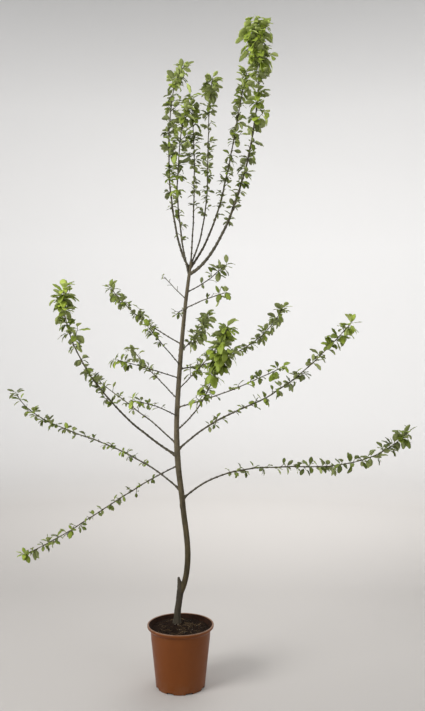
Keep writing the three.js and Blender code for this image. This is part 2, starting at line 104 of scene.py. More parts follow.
# Each limb is one Bezier curve from the trunk: foot is its height there, tip how far it goes [across, away,
# up], leave and arrive its headings as [compass, rise] in degrees, and radius its half thickness at the foot
# and at the tip. bare is the leafless share of its length. leaf is the length of a full leaf, crowd how many
# a spur bears near the tip, thin how full the foliage starts, fresh how young its last leaves are, and shoot
# the length of its young growth, which bears single leaves. pull is how far the curve keeps to each heading,
# as shares of the straight way to the tip, where it isn't EVEN_PULL.
FIELDS = ("name", "foot", "tip", "leave", "arrive", "radius", "bare", "leaf", "crowd", "thin", "fresh",
          "shoot", "pull")
EVEN_PULL = (1 / 3, 1 / 3)
LIMBS = [Record(**dict(zip(FIELDS, row))) for row in (
    ("top_right_outer", 1359, (223, -80, 771), (-20, 20), (-20, 95),
     (5.2, 1.4), 0.25, 38, 5, 0.7, 1.0, 100, (0.17, 0.42)),
    ("top_right_inner", 1378, (194, 150, 700), (40, 48), (40, 73), (3.9, 1.4), 0.26, 31, 4, 0.75, 0.8, 60),
    ("top_middle", 1391, (72, 150, 666), (48, 56), (65, 71), (2.8, 1.3), 0.27, 31, 4, 0.85, 0.7, 65),
    ("leader", 1399, (2, -60, 520), (-45, 84), (-135, 83), (2.7, 1.3), 0.3, 31, 4, 0.85, 0.5, 60),
    ("top_left_inner", 1355, (-9, -90, 522), (-141, 72), (-35, 74), (3.1, 1.3), 0.2, 30, 4, 0.9, 0.6, 50),
    ("top_left_outer", 1378, (-30, 90, 694), (152, 46), (35, 51),
     (3.9, 1.4), 0.28, 31, 4, 1.0, 0.8, 70, (0.18, 0.2)),
    ("right_1", 1300, (127, 100, 98), (42, 20), (42, 37), (2.1, 1.3), 0.32, 31, 3, 0.6, 0.2, 40),
    ("right_2", 1245, (127, -100, 43), (-40, 20), (-40, 11), (2.1, 1.3), 0.35, 26, 3, 0.5, 0.3, 35),
    ("right_3", 1106, (86, 240, 123), (70, 17), (70, 32), (2.0, 1.3), 0.08, 27, 5, 1.1, 0.3, 70),
    ("right_4", 1046, (361, 250, 213), (35, 5), (35, 57), (2.4, 1.3), 0.16, 28, 5, 0.8, 0.3, 55),
    ("right_5", 978, (142, -150, 160), (-48, 33), (-48, 44), (2.0, 1.3), 0.3, 26, 4, 0.7, 0.3, 50),
    ("right_6", 918, (330, -150, 134), (-24, 15), (-24, 26), (2.4, 1.3), 0.2, 24, 3, 0.1, 0.3, 25),
    ("right_7", 843, (157, -420, 316), (-68, 19), (-72, 63), (2.6, 1.3), 0.48, 32, 5, 0.8, 0.6, 120),
    ("right_8", 776, (545, -140, 409), (-14, 42), (-14, 48),
     (3.3, 1.3), 0.17, 30, 4, 0.5, 0.5, 80, (0.46, 0.65)),
    ("right_9", 613, (776, 130, 205), (10, 42), (10, 42),
     (3.1, 1.3), 0.2, 34, 4, 0.45, 0.3, 45, (0.39, 0.41)),
    ("left_1", 1276, (-74, 50, 78), (146, 39), (146, 45), (1.5, 1.2), 0, 9, 1, 0, 0.2, 0),
    ("left_2", 1239, (-21, -110, -18), (-100, 5), (-100, -15), (1.5, 1.2), 0, 16, 2, 0.2, 0.2, 0),
    ("left_3", 1127, (-254, 170, 197), (145, 24), (145, 46), (2.2, 1.3), 0.3, 27, 5, 0.75, 0.5, 50),
    ("left_4", 1058, (-90, -150, 117), (-118, 32), (-118, 33), (2.0, 1.2), 0.5, 23, 3, 0.6, 0.3, 25),
    ("left_5", 1015, (-194, -90, 61), (-154, 18), (-154, 15), (1.9, 1.2), 0.42, 23, 3, 0.5, 0.3, 35),
    ("left_6", 945, (-183, 300, 169), (121, 24), (121, 28), (2.2, 1.3), 0.4, 25, 3, 0.75, 0.4, 40),
    ("left_7", 890, (-116, -260, 65), (-114, 18), (-112, 6), (2.0, 1.2), 0.35, 20, 2, 0.4, 0.4, 20),
    ("left_8", 796, (-301, 200, 221), (145, 35), (145, 44),
     (2.7, 1.3), 0.32, 22, 3, 0.4, 0.3, 20, (0.55, 0.2)),
    ("left_9", 757, (-358, -100, 540), (-164, 32), (-164, 93), (4.0, 1.4), 0.4, 34, 5, 0.6, 0.9, 75),
    ("left_10", 640, (-570, 100, 315), (170, 43), (170, 59),
     (3.0, 1.3), 0.2, 24, 3, 1.0, 0.3, 12, (0.44, 0.26)),
    ("left_11", 726, (-450, -210, -237), (-155, -19), (-155, -19), (2.4, 1.3), 0.16, 22, 4, 0.55, 0.4, 40),
)]

# How foliage grows. Spurs stand along the stem on its two-fifths spiral and lean forwards and up. A spur's
# leaves stand on its outer side, left and right in turn. The last spur is the bud at the stem's end, and its
# leaves follow the golden angle. Pairs of numbers are [least, most], and angles are in degrees.
SPUR = Record(
    gap=20, wander=0.35, spiral=144, turn_wander=25, lean=(0.6, 0.85, 0.2), length=(4, 14),
    radius=1.4, slimness=0.7, fullness=(0.1, 2.9), top_leaf=0.95, lowest_leaf=0.2,
    leaf_gap=0.17, rings=9, scars=0.1, taper=0.62,
)
BUD = Record(length=10, extra_leaves=2, off_trunk=6)
LEAF = Record(
    width=0.56, droop=(-0.2, 0.65), facing=0.15, facing_out=0.25, turn=(20, 150), first=(12, 60),
    other=(38, 100), size=(0.72, 1.2), growth=(0.64, 1.16), roll=(-26, 26), bend=(0.1, 1.0),
    fold=(0.05, 0.6), twist=(-0.3, 0.3), stalk=0.12, stalk_end=0.16, sag=0.012, blade=0.92,
)
# Single leaves on young growth: the fuller the limb the closer they stand, and away from the tip they open
# wider and grow longer.
SHOOT = Record(
    spread=30.0, wander=0.6, sink=0.4, opening=(46, 92), opening_wander=16, growth=(0.98, 1.3),
    size=(0.82, 1.12), droop=(0.05, 0.95), stiff_leaf=32, radius=1.2,
)
# Side twigs of the strongest shoots, each with single leaves:
# [how far from the limb's tip, length, turn, how far it leans from the limb].
TWIGS = {
    "top_right_outer": [(1, 48, 0, 0.1), (3, 50, 265, 1.2), (16, 54, 215, 1.3), (18, 52, 100, 1.6),
                        (62, 50, 262, 1.7), (38, 60, 255, 1.6), (48, 50, 150, 1.5), (80, 44, 235, 1.8),
                        (104, 46, 90, 2.2), (285, 44, 90, 1.2)],
    "top_right_inner": [(245, 42, 100, 1.2), (60, 40, 110, 1.2)],
    "top_middle": [(40, 32, 20, 1.2)],
    "leader": [(90, 38, 90, 1.2), (140, 36, 250, 1.2), (50, 34, 180, 1.2)],
    "top_left_inner": [(150, 40, 90, 1.2), (100, 34, 270, 1.2)],
    "top_left_outer": [(225, 44, 270, 1.4), (165, 50, 265, 1.5)],
    "right_3": [(225, 46, 190, 1.3), (180, 44, 200, 1.3), (130, 44, 170, 1.2)],
    "right_5": [(150, 46, 270, 1.3), (185, 44, 250, 1.2)],
    "right_7": [(1, 22, 0, 0.1), (80, 44, 40, 1.2), (95, 46, 190, 1.4), (120, 46, 250, 1.2),
                (140, 46, 300, 1.2), (160, 50, 140, 1.2), (300, 50, 180, 1.3)],
    "left_3": [(170, 40, 250, 1.2)],
    "left_9": [(30, 36, 250, 1.2), (46, 34, 90, 1.2), (165, 50, 275, 1.2)],
}
TWIG = Record(rings=24, sides=8, radius=(1.2, 0.8), leafy=0.9, pull=(1 / 3, 0.7), rise=0.35)
GOLDEN_ANGLE = 137.5

# Small tools


def lerp(start, end, share):
    return start + (end - start) * share


def between(pair, share):
    return lerp(pair[0], pair[1], share)


def unit(vectors):
    return vectors / np.linalg.norm(vectors, axis=-1, keepdims=True)


def heading(compass, rise):
    """A compass heading and a rise, both in degrees, as a direction."""
    compass, rise = radians(compass), radians(rise)
    return np.array([cos(rise) * cos(compass), cos(rise) * sin(compass), sin(rise)])


def square_to(tangent, reference):
    """Two directions square to a tangent: one towards a reference, and the one that completes the set."""
    along = np.sum(tangent * reference, axis=-1, keepdims=True)
    side = unit(reference - tangent * along)
    return side, np.cross(side, tangent)


# A linear congruential generator: its modulus, its step, and how two seeds are mixed into its first state.
MODULUS = 2**32
STEP = (1664525, 1013904223)
SEED_MIX = (2654435761, 40503)


def seeded(first, second):
    """Repeatable numbers from 0 to 1."""
    state = ((first + 1) * SEED_MIX[0] + (second + 1) * SEED_MIX[1]) % MODULUS

    def draw():
        nonlocal state
        state = (state * STEP[0] + STEP[1]) % MODULUS
        return state / MODULUS

    draw()
    draw()
    return draw


def either_way(share):
    """A draw from 0 to 1 as a number from -1 to 1."""
    return 2 * share - 1


def noise_at(points, scale, shift=0.0):
    """Smooth noise from about -1 to 1 at each point. scale is one number or one for each axis."""
    scaled = np.asarray(points) * np.asarray(scale) + shift
    return np.array([noise.noise(Vector(p)) for p in scaled.reshape(-1, 3)]).reshape(scaled.shape[:-1])


def layered_noise(points, layers):
    """Noise in layers of [height, scale, shift]."""
    return sum(height * noise_at(points, scale, shift) for height, scale, shift in layers)


def circle(sides):
    """The turns of a ring's corners."""
    return np.arange(sides) * 2 * pi / sides


def turned(start, towards, angle):
    """A direction turned by an angle towards another that is square to it."""
    return start * np.cos(angle) + towards * np.sin(angle)


def square_at(tangent, reference, turn):
    """The direction square to a tangent, at a turn from a reference."""
    return turned(*square_to(tangent, reference), turn)


def read_off(pairs, keys):
    return np.interp(keys, *zip(*pairs))


def read_points(points, keys, at):
    return np.stack([np.interp(at, keys, points[:, k]) for k in range(3)], axis=-1)


TANGENT_REACH = 2.0


class Route:
    """A curve read by its share of length, or by height where it only rises."""

    def __init__(self, points):
        self.points = np.asarray(points, float)
        steps = np.linalg.norm(np.diff(self.points, axis=0), axis=1)
        self.length = steps.sum()
        self.shares = np.concatenate([[0], np.cumsum(steps)]) / self.length

    def at(self, share):
        return read_points(self.points, self.shares, share)

    def at_height(self, height):
        return read_points(self.points, self.points[:, 2], height)

    def tangent(self, share):
        reach = TANGENT_REACH / self.length
        return unit(self.at(np.minimum(share + reach, 1)) - self.at(np.maximum(share - reach, 0)))


SAMPLES = 30


def smooth_route(points):
    """A centripetal Catmull-Rom curve through points."""
    knots = np.asarray(points, float)
    knots = np.vstack([2 * knots[0] - knots[1], knots, 2 * knots[-1] - knots[-2]])
    made = []
    for p0, p1, p2, p3 in zip(knots, knots[1:], knots[2:], knots[3:]):
        d0, d1, d2 = (sqrt(np.linalg.norm(b - a)) for a, b in ((p0, p1), (p1, p2), (p2, p3)))
        start = ((p1 - p0) / d0 - (p2 - p0) / (d0 + d1) + (p2 - p1) / d1) * d1
        end = ((p2 - p1) / d1 - (p3 - p1) / (d1 + d2) + (p3 - p2) / d2) * d1
        t = np.linspace(0, 1, SAMPLES, endpoint=False)[:, None]
        made.append(p1 + start * t + (3 * (p2 - p1) - 2 * start - end) * t**2
                    + (2 * (p1 - p2) + start + end) * t**3)
    return Route(np.vstack([*made, knots[-2]]))


def bezier_route(p0, p1, p2, p3):
    t = np.linspace(0, 1, 8 * SAMPLES)[:, None]
    return Route((1 - t)**3 * p0 + 3 * (1 - t)**2 * t * p1 + 3 * (1 - t) * t**2 * p2 + t**3 * p3)


class Parts:
    """Closed bodies gathered into one mesh, with the material slot of each face."""

    def __init__(self):
        self.points, self.faces, self.slots, self.count = [], [], [], 0

    def add(self, points, quads, triangles, slots=0):
        """slots is one for the whole body, or one for each face with the quads first."""
        for faces in (quads, triangles):
            self.faces += (np.asarray(faces, int) + self.count).tolist()
        self.slots += [slots] * (len(quads) + len(triangles)) if isinstance(slots, int) else slots
        self.points.append(np.reshape(points, (-1, 3)))
        self.count += len(self.points[-1])

    def mesh(self, name):
        mesh = bpy.data.meshes.new(name)
        mesh.from_pydata(np.vstack(self.points) * MM, [], self.faces)
        mesh.polygons.foreach_set("material_index", self.slots)
        mesh.shade_smooth()
        return mesh


def make_object(name, shape, materials=()):
    """An object of a mesh, or of parts."""
    mesh = shape.mesh(name) if isinstance(shape, Parts) else shape
    for material in materials:
        mesh.materials.append(material)
    return link(name, mesh)


def make_piece(name, shape, materials, nodes):
    """A piece of the plant or pot that stands for CAD nodes."""
    piece = make_object(name, shape, materials)
    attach(piece, "root")
    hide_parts(*nodes)


def applied(piece):
    """The piece's mesh with its modifiers applied. The piece is removed."""
    evaluated = piece.evaluated_get(bpy.context.evaluated_depsgraph_get())
    mesh = bpy.data.meshes.new_from_object(evaluated)
    bpy.data.objects.remove(piece)
    return mesh


def ring_faces(count, sides, flip=False):
    """Quads between rings of corners, and fans to the two end points that follow the rings."""
    here = np.arange(sides)
    following = (here + 1) % sides
    rows = np.arange(count - 1)[:, None] * sides
    base, turned = (rows + here).ravel(), (rows + following).ravel()
    low, last = count * sides, (count - 1) * sides
    quads = np.stack([base, base + sides, turned + sides, turned], axis=1)
    fans = np.vstack([np.stack([np.full(sides, low), here, following], axis=1),
                      np.stack([np.full(sides, low + 1), following + last, here + last], axis=1)])
    return (quads[:, [0, 3, 2, 1]], fans[:, [0, 2, 1]]) if flip else (quads, fans)


def tube(route, shares, radii, sides, reference, blunt=0.5):
    """A closed round body along a route. radii has one value for each ring, or one for each corner too."""
    centres, tangents = route.at(shares), route.tangent(shares)
    side, across = square_to(tangents, reference)
    spokes = turned(side[:, None], across[:, None], circle(sides)[:, None])
    radii = np.asarray(radii, float)
    if radii.ndim == 1:
        radii = radii[:, None]
    rings = centres[:, None] + spokes * radii[..., None]
    ends = [centres[0] - tangents[0] * radii[0].mean() * blunt,
            centres[-1] + tangents[-1] * radii[-1].mean() * blunt]
    return np.vstack([rings.reshape(-1, 3), ends]), *ring_faces(len(shares), sides)


def lathed(profile, sides):
    """The corners of a profile of [radius, height] turned round the Z axis."""
    turns = circle(sides)
    return np.stack([profile[:, :1] * np.cos(turns), profile[:, :1] * np.sin(turns),
                     np.repeat(profile[:, 1:], sides, axis=1)], axis=-1).reshape(-1, 3)


def revolved(profile, sides):
    """A closed body from a profile that starts and ends on the axis."""
    ends = [(0, 0, profile[0][1]), (0, 0, profile[-1][1])]
    return np.vstack([lathed(profile[1:-1], sides), ends]), *ring_faces(len(profile) - 2, sides, flip=True)


# Materials


def linear(red, green, blue):
    """An sRGB colour of 0 to 255 as the shader's linear colour."""
    shares = (value / 255 for value in (red, green, blue))
    return (*(s / 12.92 if s <= 0.04045 else ((s + 0.055) / 1.055)**2.4 for s in shares), 1.0)


class Finish:
    """A procedural material: a Principled shader and the nodes that feed it."""

    def __init__(self, name, roughness, **constants):
        self.material = bpy.data.materials.new(name)
        self.material.use_nodes = True
        self.tree = self.material.node_tree
        self.shader = self.tree.nodes["Principled BSDF"]
        self.feed(Roughness=roughness, **constants)

    def fill(self, node, inputs):
        """Each input of a node gets a value, or a link where a socket is given."""
        for name, value in inputs.items():
            socket = node.inputs[name.replace("_", " ") if isinstance(name, str) else name]
            if isinstance(value, bpy.types.NodeSocket):
                self.tree.links.new(value, socket)
            else:
                socket.default_value = value

    def feed(self, **inputs):
        self.fill(self.shader, inputs)

    def node(self, kind, output, inputs, **settings):
        """The output of a new node."""
        node = self.tree.nodes.new("ShaderNode" + kind)
        for setting, value in settings.items():
            setattr(node, setting, value)
        self.fill(node, inputs)
        return node.outputs[output]

    def place(self, stretch=(1, 1, 1)):
        """The piece's own coordinates, stretched."""
        own = self.node("TexCoord", "Object", {})
        return self.node("Mapping", "Vector", {"Vector": own, "Scale": stretch})

    def height(self):
        """The height on the piece, in metres."""
        return self.node("SeparateXYZ", "Z", {"Vector": self.place()})

    def noise(self, scale, detail=4.0, roughness=0.55, stretch=(1, 1, 1)):
        return self.node("TexNoise", "Fac", {"Vector": self.place(stretch), "Scale": scale, "Detail": detail,
                                             "Roughness": roughness})

    def ramp(self, value, stops):
        """Colours in sRGB, or greys, read off a value."""
        ramp = self.tree.nodes.new("ShaderNodeValToRGB")
        elements = ramp.color_ramp.elements
        while len(elements) < len(stops):
            elements.new(0.5)
        for element, (position, shade) in zip(elements, stops):
            element.position = position
            element.color = linear(*shade) if isinstance(shade, tuple) else (shade, shade, shade, 1)
        self.fill(ramp, {"Fac": value})
        return ramp.outputs["Color"]

    def mottle(self, stops, scale, **grain):
        """Colours, or greys, read off noise."""
        return self.ramp(self.noise(scale, **grain), stops)

    def mix(self, how, share, first, second):
        return self.node("Mix", 2, {0: share, 6: first, 7: second}, data_type="RGBA", blend_type=how)

    def span(self, value, start, end, low=0.0, high=1.0):
        """From low where the value is at start to high where it is at end."""
        return self.node("MapRange", "Result", {
            "Value": value, "From Min": start, "From Max": end, "To Min": low, "To Max": high})

    def bump(self, height, depth, strength=1.0, **below):
        """Relief of a depth in metres. It lies on another where that is given as Normal."""
        relief = {"Height": height, "Distance": depth, "Strength": strength}
        return self.node("Bump", "Normal", {**relief, **below})


GRAIN = (1, 1, 0.35)
LOWER_BARK_TINT = (184, 176, 140)


def bark_finish(name, dark, pale, scale, darker_below=None):
    """Bark, mottled along the grain, with fine cracks. Where two heights are given, the bark is darker
    towards
    the bottom: darkest below the first and not darkened above the second, in metres."""
    finish = Finish(name, 0.86)
    colour = finish.mottle([(0.33, dark), (0.66, pale)], scale, detail=6, roughness=0.62, stretch=GRAIN)
    if darker_below:
        # The bark is darker towards the bottom.
        age = finish.span(finish.height(), darker_below[1], darker_below[0])
        colour = finish.mix("MULTIPLY", age, colour, linear(*LOWER_BARK_TINT))
    cracks = finish.noise(scale * 4, detail=5, roughness=0.6, stretch=(1, 1, 0.3))
    finish.feed(Base_Color=colour, Roughness=finish.mottle([(0.3, 0.72), (0.7, 0.95)], scale * 2),
                Normal=finish.bump(finish.noise(scale * 14, detail=3), depth=0.00015,
                                   Normal=finish.bump(cracks, depth=0.0006)))
    return finish.material


def leaf_finish(name, colour, roughness):
    """One side of a leaf: a plain colour with a finely pitted surface."""
    finish = Finish(name, roughness, Specular_IOR_Level=0.4, Base_Color=linear(*colour))
    finish.feed(Normal=finish.bump(finish.noise(900, detail=3), depth=0.00012, strength=0.7))
    return finish.material


# Where the pot's rim is painted paler, in metres below its top: partly wear, partly painted highlight.
# And how high dust lies on its foot.
RIM_WEAR_AND_HIGHLIGHT = Record(start=0.003, full=0.0006, colour=(146, 116, 92))
DUST = Record(top=0.05, share=0.4, colour=(124, 100, 80))


def pot_finish():
    finish = Finish("terracotta_plastic", 0.42, Specular_IOR_Level=0.28)
    colour = finish.mottle([(0.3, (108, 55, 12)), (0.7, (120, 63, 16))], 9, detail=5, roughness=0.6,
                           stretch=(1, 1, 0.4))
    height, top = finish.height(), POT.height * MM
    # The top edge of the rim is painted paler: partly wear, partly painted highlight.
    rim = finish.span(height, top - RIM_WEAR_AND_HIGHLIGHT.start, top - RIM_WEAR_AND_HIGHLIGHT.full)
    patches = finish.mottle([(0.35, 0.25), (0.65, 0.9)], 60, detail=6, roughness=0.7)
    rim_wear_and_highlight = finish.mix("MULTIPLY", 1.0, rim, patches)
    colour = finish.mix("MIX", rim_wear_and_highlight, colour, linear(*RIM_WEAR_AND_HIGHLIGHT.colour))
    dust = finish.span(height, 0.0, DUST.top, DUST.share, 0.0)
    patches = finish.mottle([(0.4, 0.0), (0.7, 0.8)], 45, detail=6, roughness=0.7)
    settled = finish.mix("MULTIPLY", 1.0, dust, patches)
    finish.feed(Base_Color=finish.mix("MIX", settled, colour, linear(*DUST.colour)),
                Roughness=finish.mottle([(0.3, 0.36), (0.7, 0.5)], 30, detail=5, roughness=0.65),
                Normal=finish.bump(finish.noise(700, detail=2), depth=0.00006, strength=0.6))
    return finish.material


def soil_finish(name, dark, pale, scale):
    finish = Finish(name, 0.95, Specular_IOR_Level=0.15)
    finish.feed(Base_Color=finish.mottle([(0.35, dark), (0.68, pale)], scale, detail=8, roughness=0.7),
                Normal=finish.bump(finish.noise(scale * 4, detail=6, roughness=0.7), depth=0.0008))
    return finish.material


# Pot


ARC_POINTS = 5


def rounded(corners):
    """A profile of [radius, height, rounding] corners with each corner turned into an arc."""
    made = []
    for i, (r, z, rounding) in enumerate(corners):
        here = np.array([r, z], float)
        if not rounding:
            made.append(here)
            continue
        before = np.array(corners[i - 1][:2], float) - here
        after = np.array(corners[(i + 1) % len(corners)][:2], float) - here
        inset = min(rounding, 0.49 * np.linalg.norm(before), 0.49 * np.linalg.norm(after))
        start, end = here + unit(before) * inset, here + unit(after) * inset
        for t in np.linspace(0, 1, ARC_POINTS):
            made.append((1 - t)**2 * start + 2 * (1 - t) * t * here + t**2 * end)
    return np.array(made)


WALL_TOP = Record(
    radius=POT.collar_radius - POT.collar_taper - POT.collar_step,
    height=POT.height - POT.collar_depth,
)


def split_long(profile, longest):
    """The same profile with its long straight runs cut into equal steps."""
    made = [profile[0]]
    for start, end in zip(profile, profile[1:]):
        steps = max(1, ceil(np.linalg.norm(end - start) / longest))
        made.extend(lerp(start, end, (k + 1) / steps) for k in range(steps))
    return np.array(made)


def drain_cutters():
    """Arched blocks round the pot's foot, which cut its drain notches."""
    half, top, corner = DRAIN.width / 2, DRAIN.height, DRAIN.round
    arch = [(-half, -top), (half, -top)]
    for centre, first in ((half - corner, 0), (corner - half, 90)):
        turns = np.radians(first + np.arange(0, 91, DRAIN.arc_step))
        arch += [(centre + corner * cos(t), top - corner + corner * sin(t)) for t in turns]
    arch = np.array(arch)
    parts = Parts()
    for i in range(DRAIN.count):
        turn = radians(DRAIN.first_turn + i * 360 / DRAIN.count)
        outward = np.array([cos(turn), sin(turn), 0])
        along = np.array([-sin(turn), cos(turn), 0])
        ring = arch[:, :1] * along + arch[:, 1:] * UP
        near, far = (ring + outward * (POT.base_radius + reach) for reach in (-DRAIN.depth, DRAIN.depth))
        ends = [near.mean(axis=0), far.mean(axis=0)]
        parts.add(np.vstack([near, far, ends]), *ring_faces(2, len(arch), flip=True))
    return make_object("drain_cutter", parts)


def pot_profile():
    """The pot's wall from the middle of its underside, up and over the lip, and down to its floor."""
    height, rim, wall, floor = POT.height, POT.rim_radius, POT.wall, POT.floor
    lip, foot = POT.lip_round, height - POT.lip_depth
    base, collar = POT.base_radius, POT.collar_radius
    below, above = WALL_TOP.radius, WALL_TOP.radius + POT.collar_step
    return split_long(rounded([
        (0, 0, 0),
        (base, 0, 1.8),
        (below, WALL_TOP.height - 5, 6),
        (above, WALL_TOP.height + 5, 6),
        (collar, foot, 5),
        (rim - 0.8, height - POT.lip_depth / 2, 4),
        (rim, height - 2 * lip, 2),
        (rim, height, lip),
        (rim - POT.lip_width, height, lip),
        (rim - POT.lip_width - lip / 2, height - 2 * lip, 3),
        (collar - wall, foot, 5),
        (above - wall, WALL_TOP.height, 1),
        (base - wall, floor, 3),
        (0, floor, 0),
    ]), POT.longest_step)


def make_pot():
    parts = Parts()
    parts.add(*revolved(pot_profile(), POT.sides))
    pot = make_object("pot_blank", parts)
    cutter = drain_cutters()
    cut = pot.modifiers.new("drain", "BOOLEAN")
    cut.operation, cut.solver, cut.object = "DIFFERENCE", "EXACT", cutter
    mesh = applied(pot)
    bpy.data.objects.remove(cutter)
    mesh.materials.clear()
    mesh.shade_smooth()
    mesh.set_sharp_from_angle(angle=radians(POT.sharp_from))
    # The inside, up to the lip, is painted darker: partly soil stain, partly painted shade inside the pot.
    top = (POT.height - POT.soiled_to * POT.lip_round) * MM
    for face in mesh.polygons:
        faces_in = face.normal.x * face.center.x + face.normal.y * face.center.y < 0
        face.material_index = 1 if faces_in and face.center.z < top else 0
    finishes = [pot_finish(), soil_finish("soil_and_painted_shade_plastic", (35, 23, 16), (58, 34, 21), 60)]
    make_piece("nursery_pot", mesh, finishes, ["pot"])


make_pot()

# Compost

# Loose matter on the compost. Each finish is [name, dark, pale], in sRGB, and grain is how fine its mottle
# is. lumps is how uneven a piece is, and sunk and raised say how it lies.
CRUMBS = Record(
    count=1500, size=(0.8, 2.9), lumps=(0.72, 1.22), squash=(0.8, 1.3), sunk=0.25, seed=11, grain=300,
    finishes=[("peat_crumbs", (27, 18, 12), (42, 29, 21)), ("brown_crumbs", (37, 25, 17), (56, 40, 28))],
)
CHIPS = Record(
    count=90, length=(5, 17), width=(0.22, 0.5), thickness=(0.5, 1.3), lumps=(0.8, 1.2), spread=0.9,
    tilt=0.25, roll=0.2, raised=0.6, seed=12, grain=220,
    finishes=[("bark_chips", (46, 32, 21), (68, 49, 34)), ("weathered_chips", (60, 46, 33), (86, 68, 50))],
)
STRAWS = Record(
    count=55, length=(9, 34), radius=(0.3, 0.65), thinner=0.35, bow=0.25, spread=0.8, inset=2,
    raised=2.0, points=7, least_points=4, seed=13, grain=240,
    finishes=[("dry_straw", (98, 80, 56), (136, 114, 84))],
)
GRIT = Record(
    count=16, size=(0.7, 1.5), lumps=(0.85, 1.15), sunk=0.4, seed=14, grain=400,
    finishes=[("pale_grit", (176, 166, 142), (214, 206, 186))],
)
SOIL_EDGE = 96.0
PALE_SPECKS = [(-20, 15, 1.9), (-9, 16, 1.6)]
SOIL_LAYERS = [(1.3, 0.12, 0.0), (0.9, 0.33, 7.0), (0.5, 0.9, 3.0)]


def soil_height(x, y):
    """The compost's top: soft lumps, and a mound round the tree."""
    from_foot = np.hypot(x - FOOT.across, y - FOOT.away) / COMPOST.mound_spread
    lump_x, lump_y = COMPOST.lump_turn
    lumps = COMPOST.lump * np.sin(x * lump_x) * np.cos(y * lump_y)
    return COMPOST.edge_height + COMPOST.mound * np.exp(-from_foot**2) + lumps


def crumbled(x, y):
    """The top with its crumbs and hollows."""
    return soil_height(x, y) + layered_noise(np.stack([x, y, np.zeros_like(x)], axis=-1), SOIL_LAYERS)


def top_at(x, y):
    return crumbled(np.array([x]), np.array([y]))[0]


def on_soil(random, spread=0.97):
    """A random place on the compost."""
    radius, turn = SOIL_EDGE * spread * sqrt(random.random()), 2 * pi * random.random()
    return radius * cos(turn), radius * sin(turn)


def icosahedron():
    """The twelve corners and twenty faces of an icosahedron of radius 1."""
    golden = (1 + sqrt(5)) / 2
    corners = [(s, t * golden, 0) for s in (-1, 1) for t in (-1, 1)]
    corners = np.array([np.roll(c, k) for k in range(3) for c in corners], float)
    faces = [(a, b, c) for a in range(12) for b in range(a) for c in range(b)
             if all(abs(np.linalg.norm(corners[i] - corners[j]) - 2) < 0.01
                    for i, j in ((a, b), (b, c), (a, c)))]
    faces = [(a, b, c) if np.dot(np.cross(corners[b] - corners[a], corners[c] - corners[a]), corners[a]) > 0
             else (a, c, b) for a, b, c in faces]
    return unit(corners), np.array(faces)


BALL, BALL_FACES = icosahedron()


def turned_at_random(random):
    """A random rotation matrix."""
    return np.array(Quaternion(unit(random.normal(size=4))).to_matrix())


def strew_crumbs(random, parts):
    for _ in range(CRUMBS.count):
        x, y = on_soil(random)
        size = between(CRUMBS.size, random.random()**2.2)
        lump = BALL * between(CRUMBS.lumps, random.random((12, 1))) * size
        lump = lump * between(CRUMBS.squash, random.random(3)) @ turned_at_random(random).T
        parts.add(lump + (x, y, top_at(x, y) + CRUMBS.sunk * size), [], BALL_FACES, int(random.randint(2)))


def strew_chips(random, parts):
    for _ in range(CHIPS.count):
        x, y = on_soil(random, CHIPS.spread)
        length = between(CHIPS.length, random.random()**2)
        size = np.array([length / 2, length * between(CHIPS.width, random.random()) / 2,
                         between(CHIPS.thickness, random.random())])
        flake = BALL * between(CHIPS.lumps, random.random((12, 1))) * size
        turn, tilt = 2 * pi * random.random(), CHIPS.tilt * either_way(random.random())
        along = np.array([cos(turn) * cos(tilt), sin(turn) * cos(tilt), sin(tilt)])
        side, across = square_to(along, UP + CHIPS.roll * either_way(random.random(3)))
        parts.add(flake @ np.stack([along, across, side]) + (x, y, top_at(x, y) + CHIPS.raised), [],
                  BALL_FACES, int(random.randint(2)))


def strew_straws(random, parts):
    for _ in range(STRAWS.count):
        x, y = on_soil(random, STRAWS.spread)
        turn, length = 2 * pi * random.random(), between(STRAWS.length, random.random()**1.6)
        steps = np.linspace(-0.5, 0.5, STRAWS.points) * length
        bow = STRAWS.bow * either_way(random.random()) * (1 - (2 * steps / length)**2) * length
        xs, ys = x + turned(steps, -bow, turn), y + turned(bow, steps, turn)
        inside = np.hypot(xs, ys) < SOIL_EDGE - STRAWS.inset
        if inside.sum() < STRAWS.least_points:
            continue
        route = Route(np.stack([xs, ys, soil_height(xs, ys) + STRAWS.raised], axis=1)[inside])
        shares = np.linspace(0, 1, STRAWS.points)
        radii = between(STRAWS.radius, random.random()) * (1 - STRAWS.thinner * shares)
        parts.add(*tube(route, shares, radii, sides=5, reference=UP + 0.1))


def strew_grit(random, parts):
    places = [(*on_soil(random), between(GRIT.size, random.random())) for _ in range(GRIT.count)]
    for x, y, size in [*places, *PALE_SPECKS]:
        stone = BALL * between(GRIT.lumps, random.random((12, 1))) * size @ turned_at_random(random).T
        parts.add(stone + (x, y, top_at(x, y) + GRIT.sunk * size), [], BALL_FACES)


# The compost's body: rings on its top, sides, and how far it keeps off the pot's floor and wall.
BED = Record(rings=92, sides=260, off_floor=0.3, off_foot=2.7, off_wall=2.0, edge_drop=4)


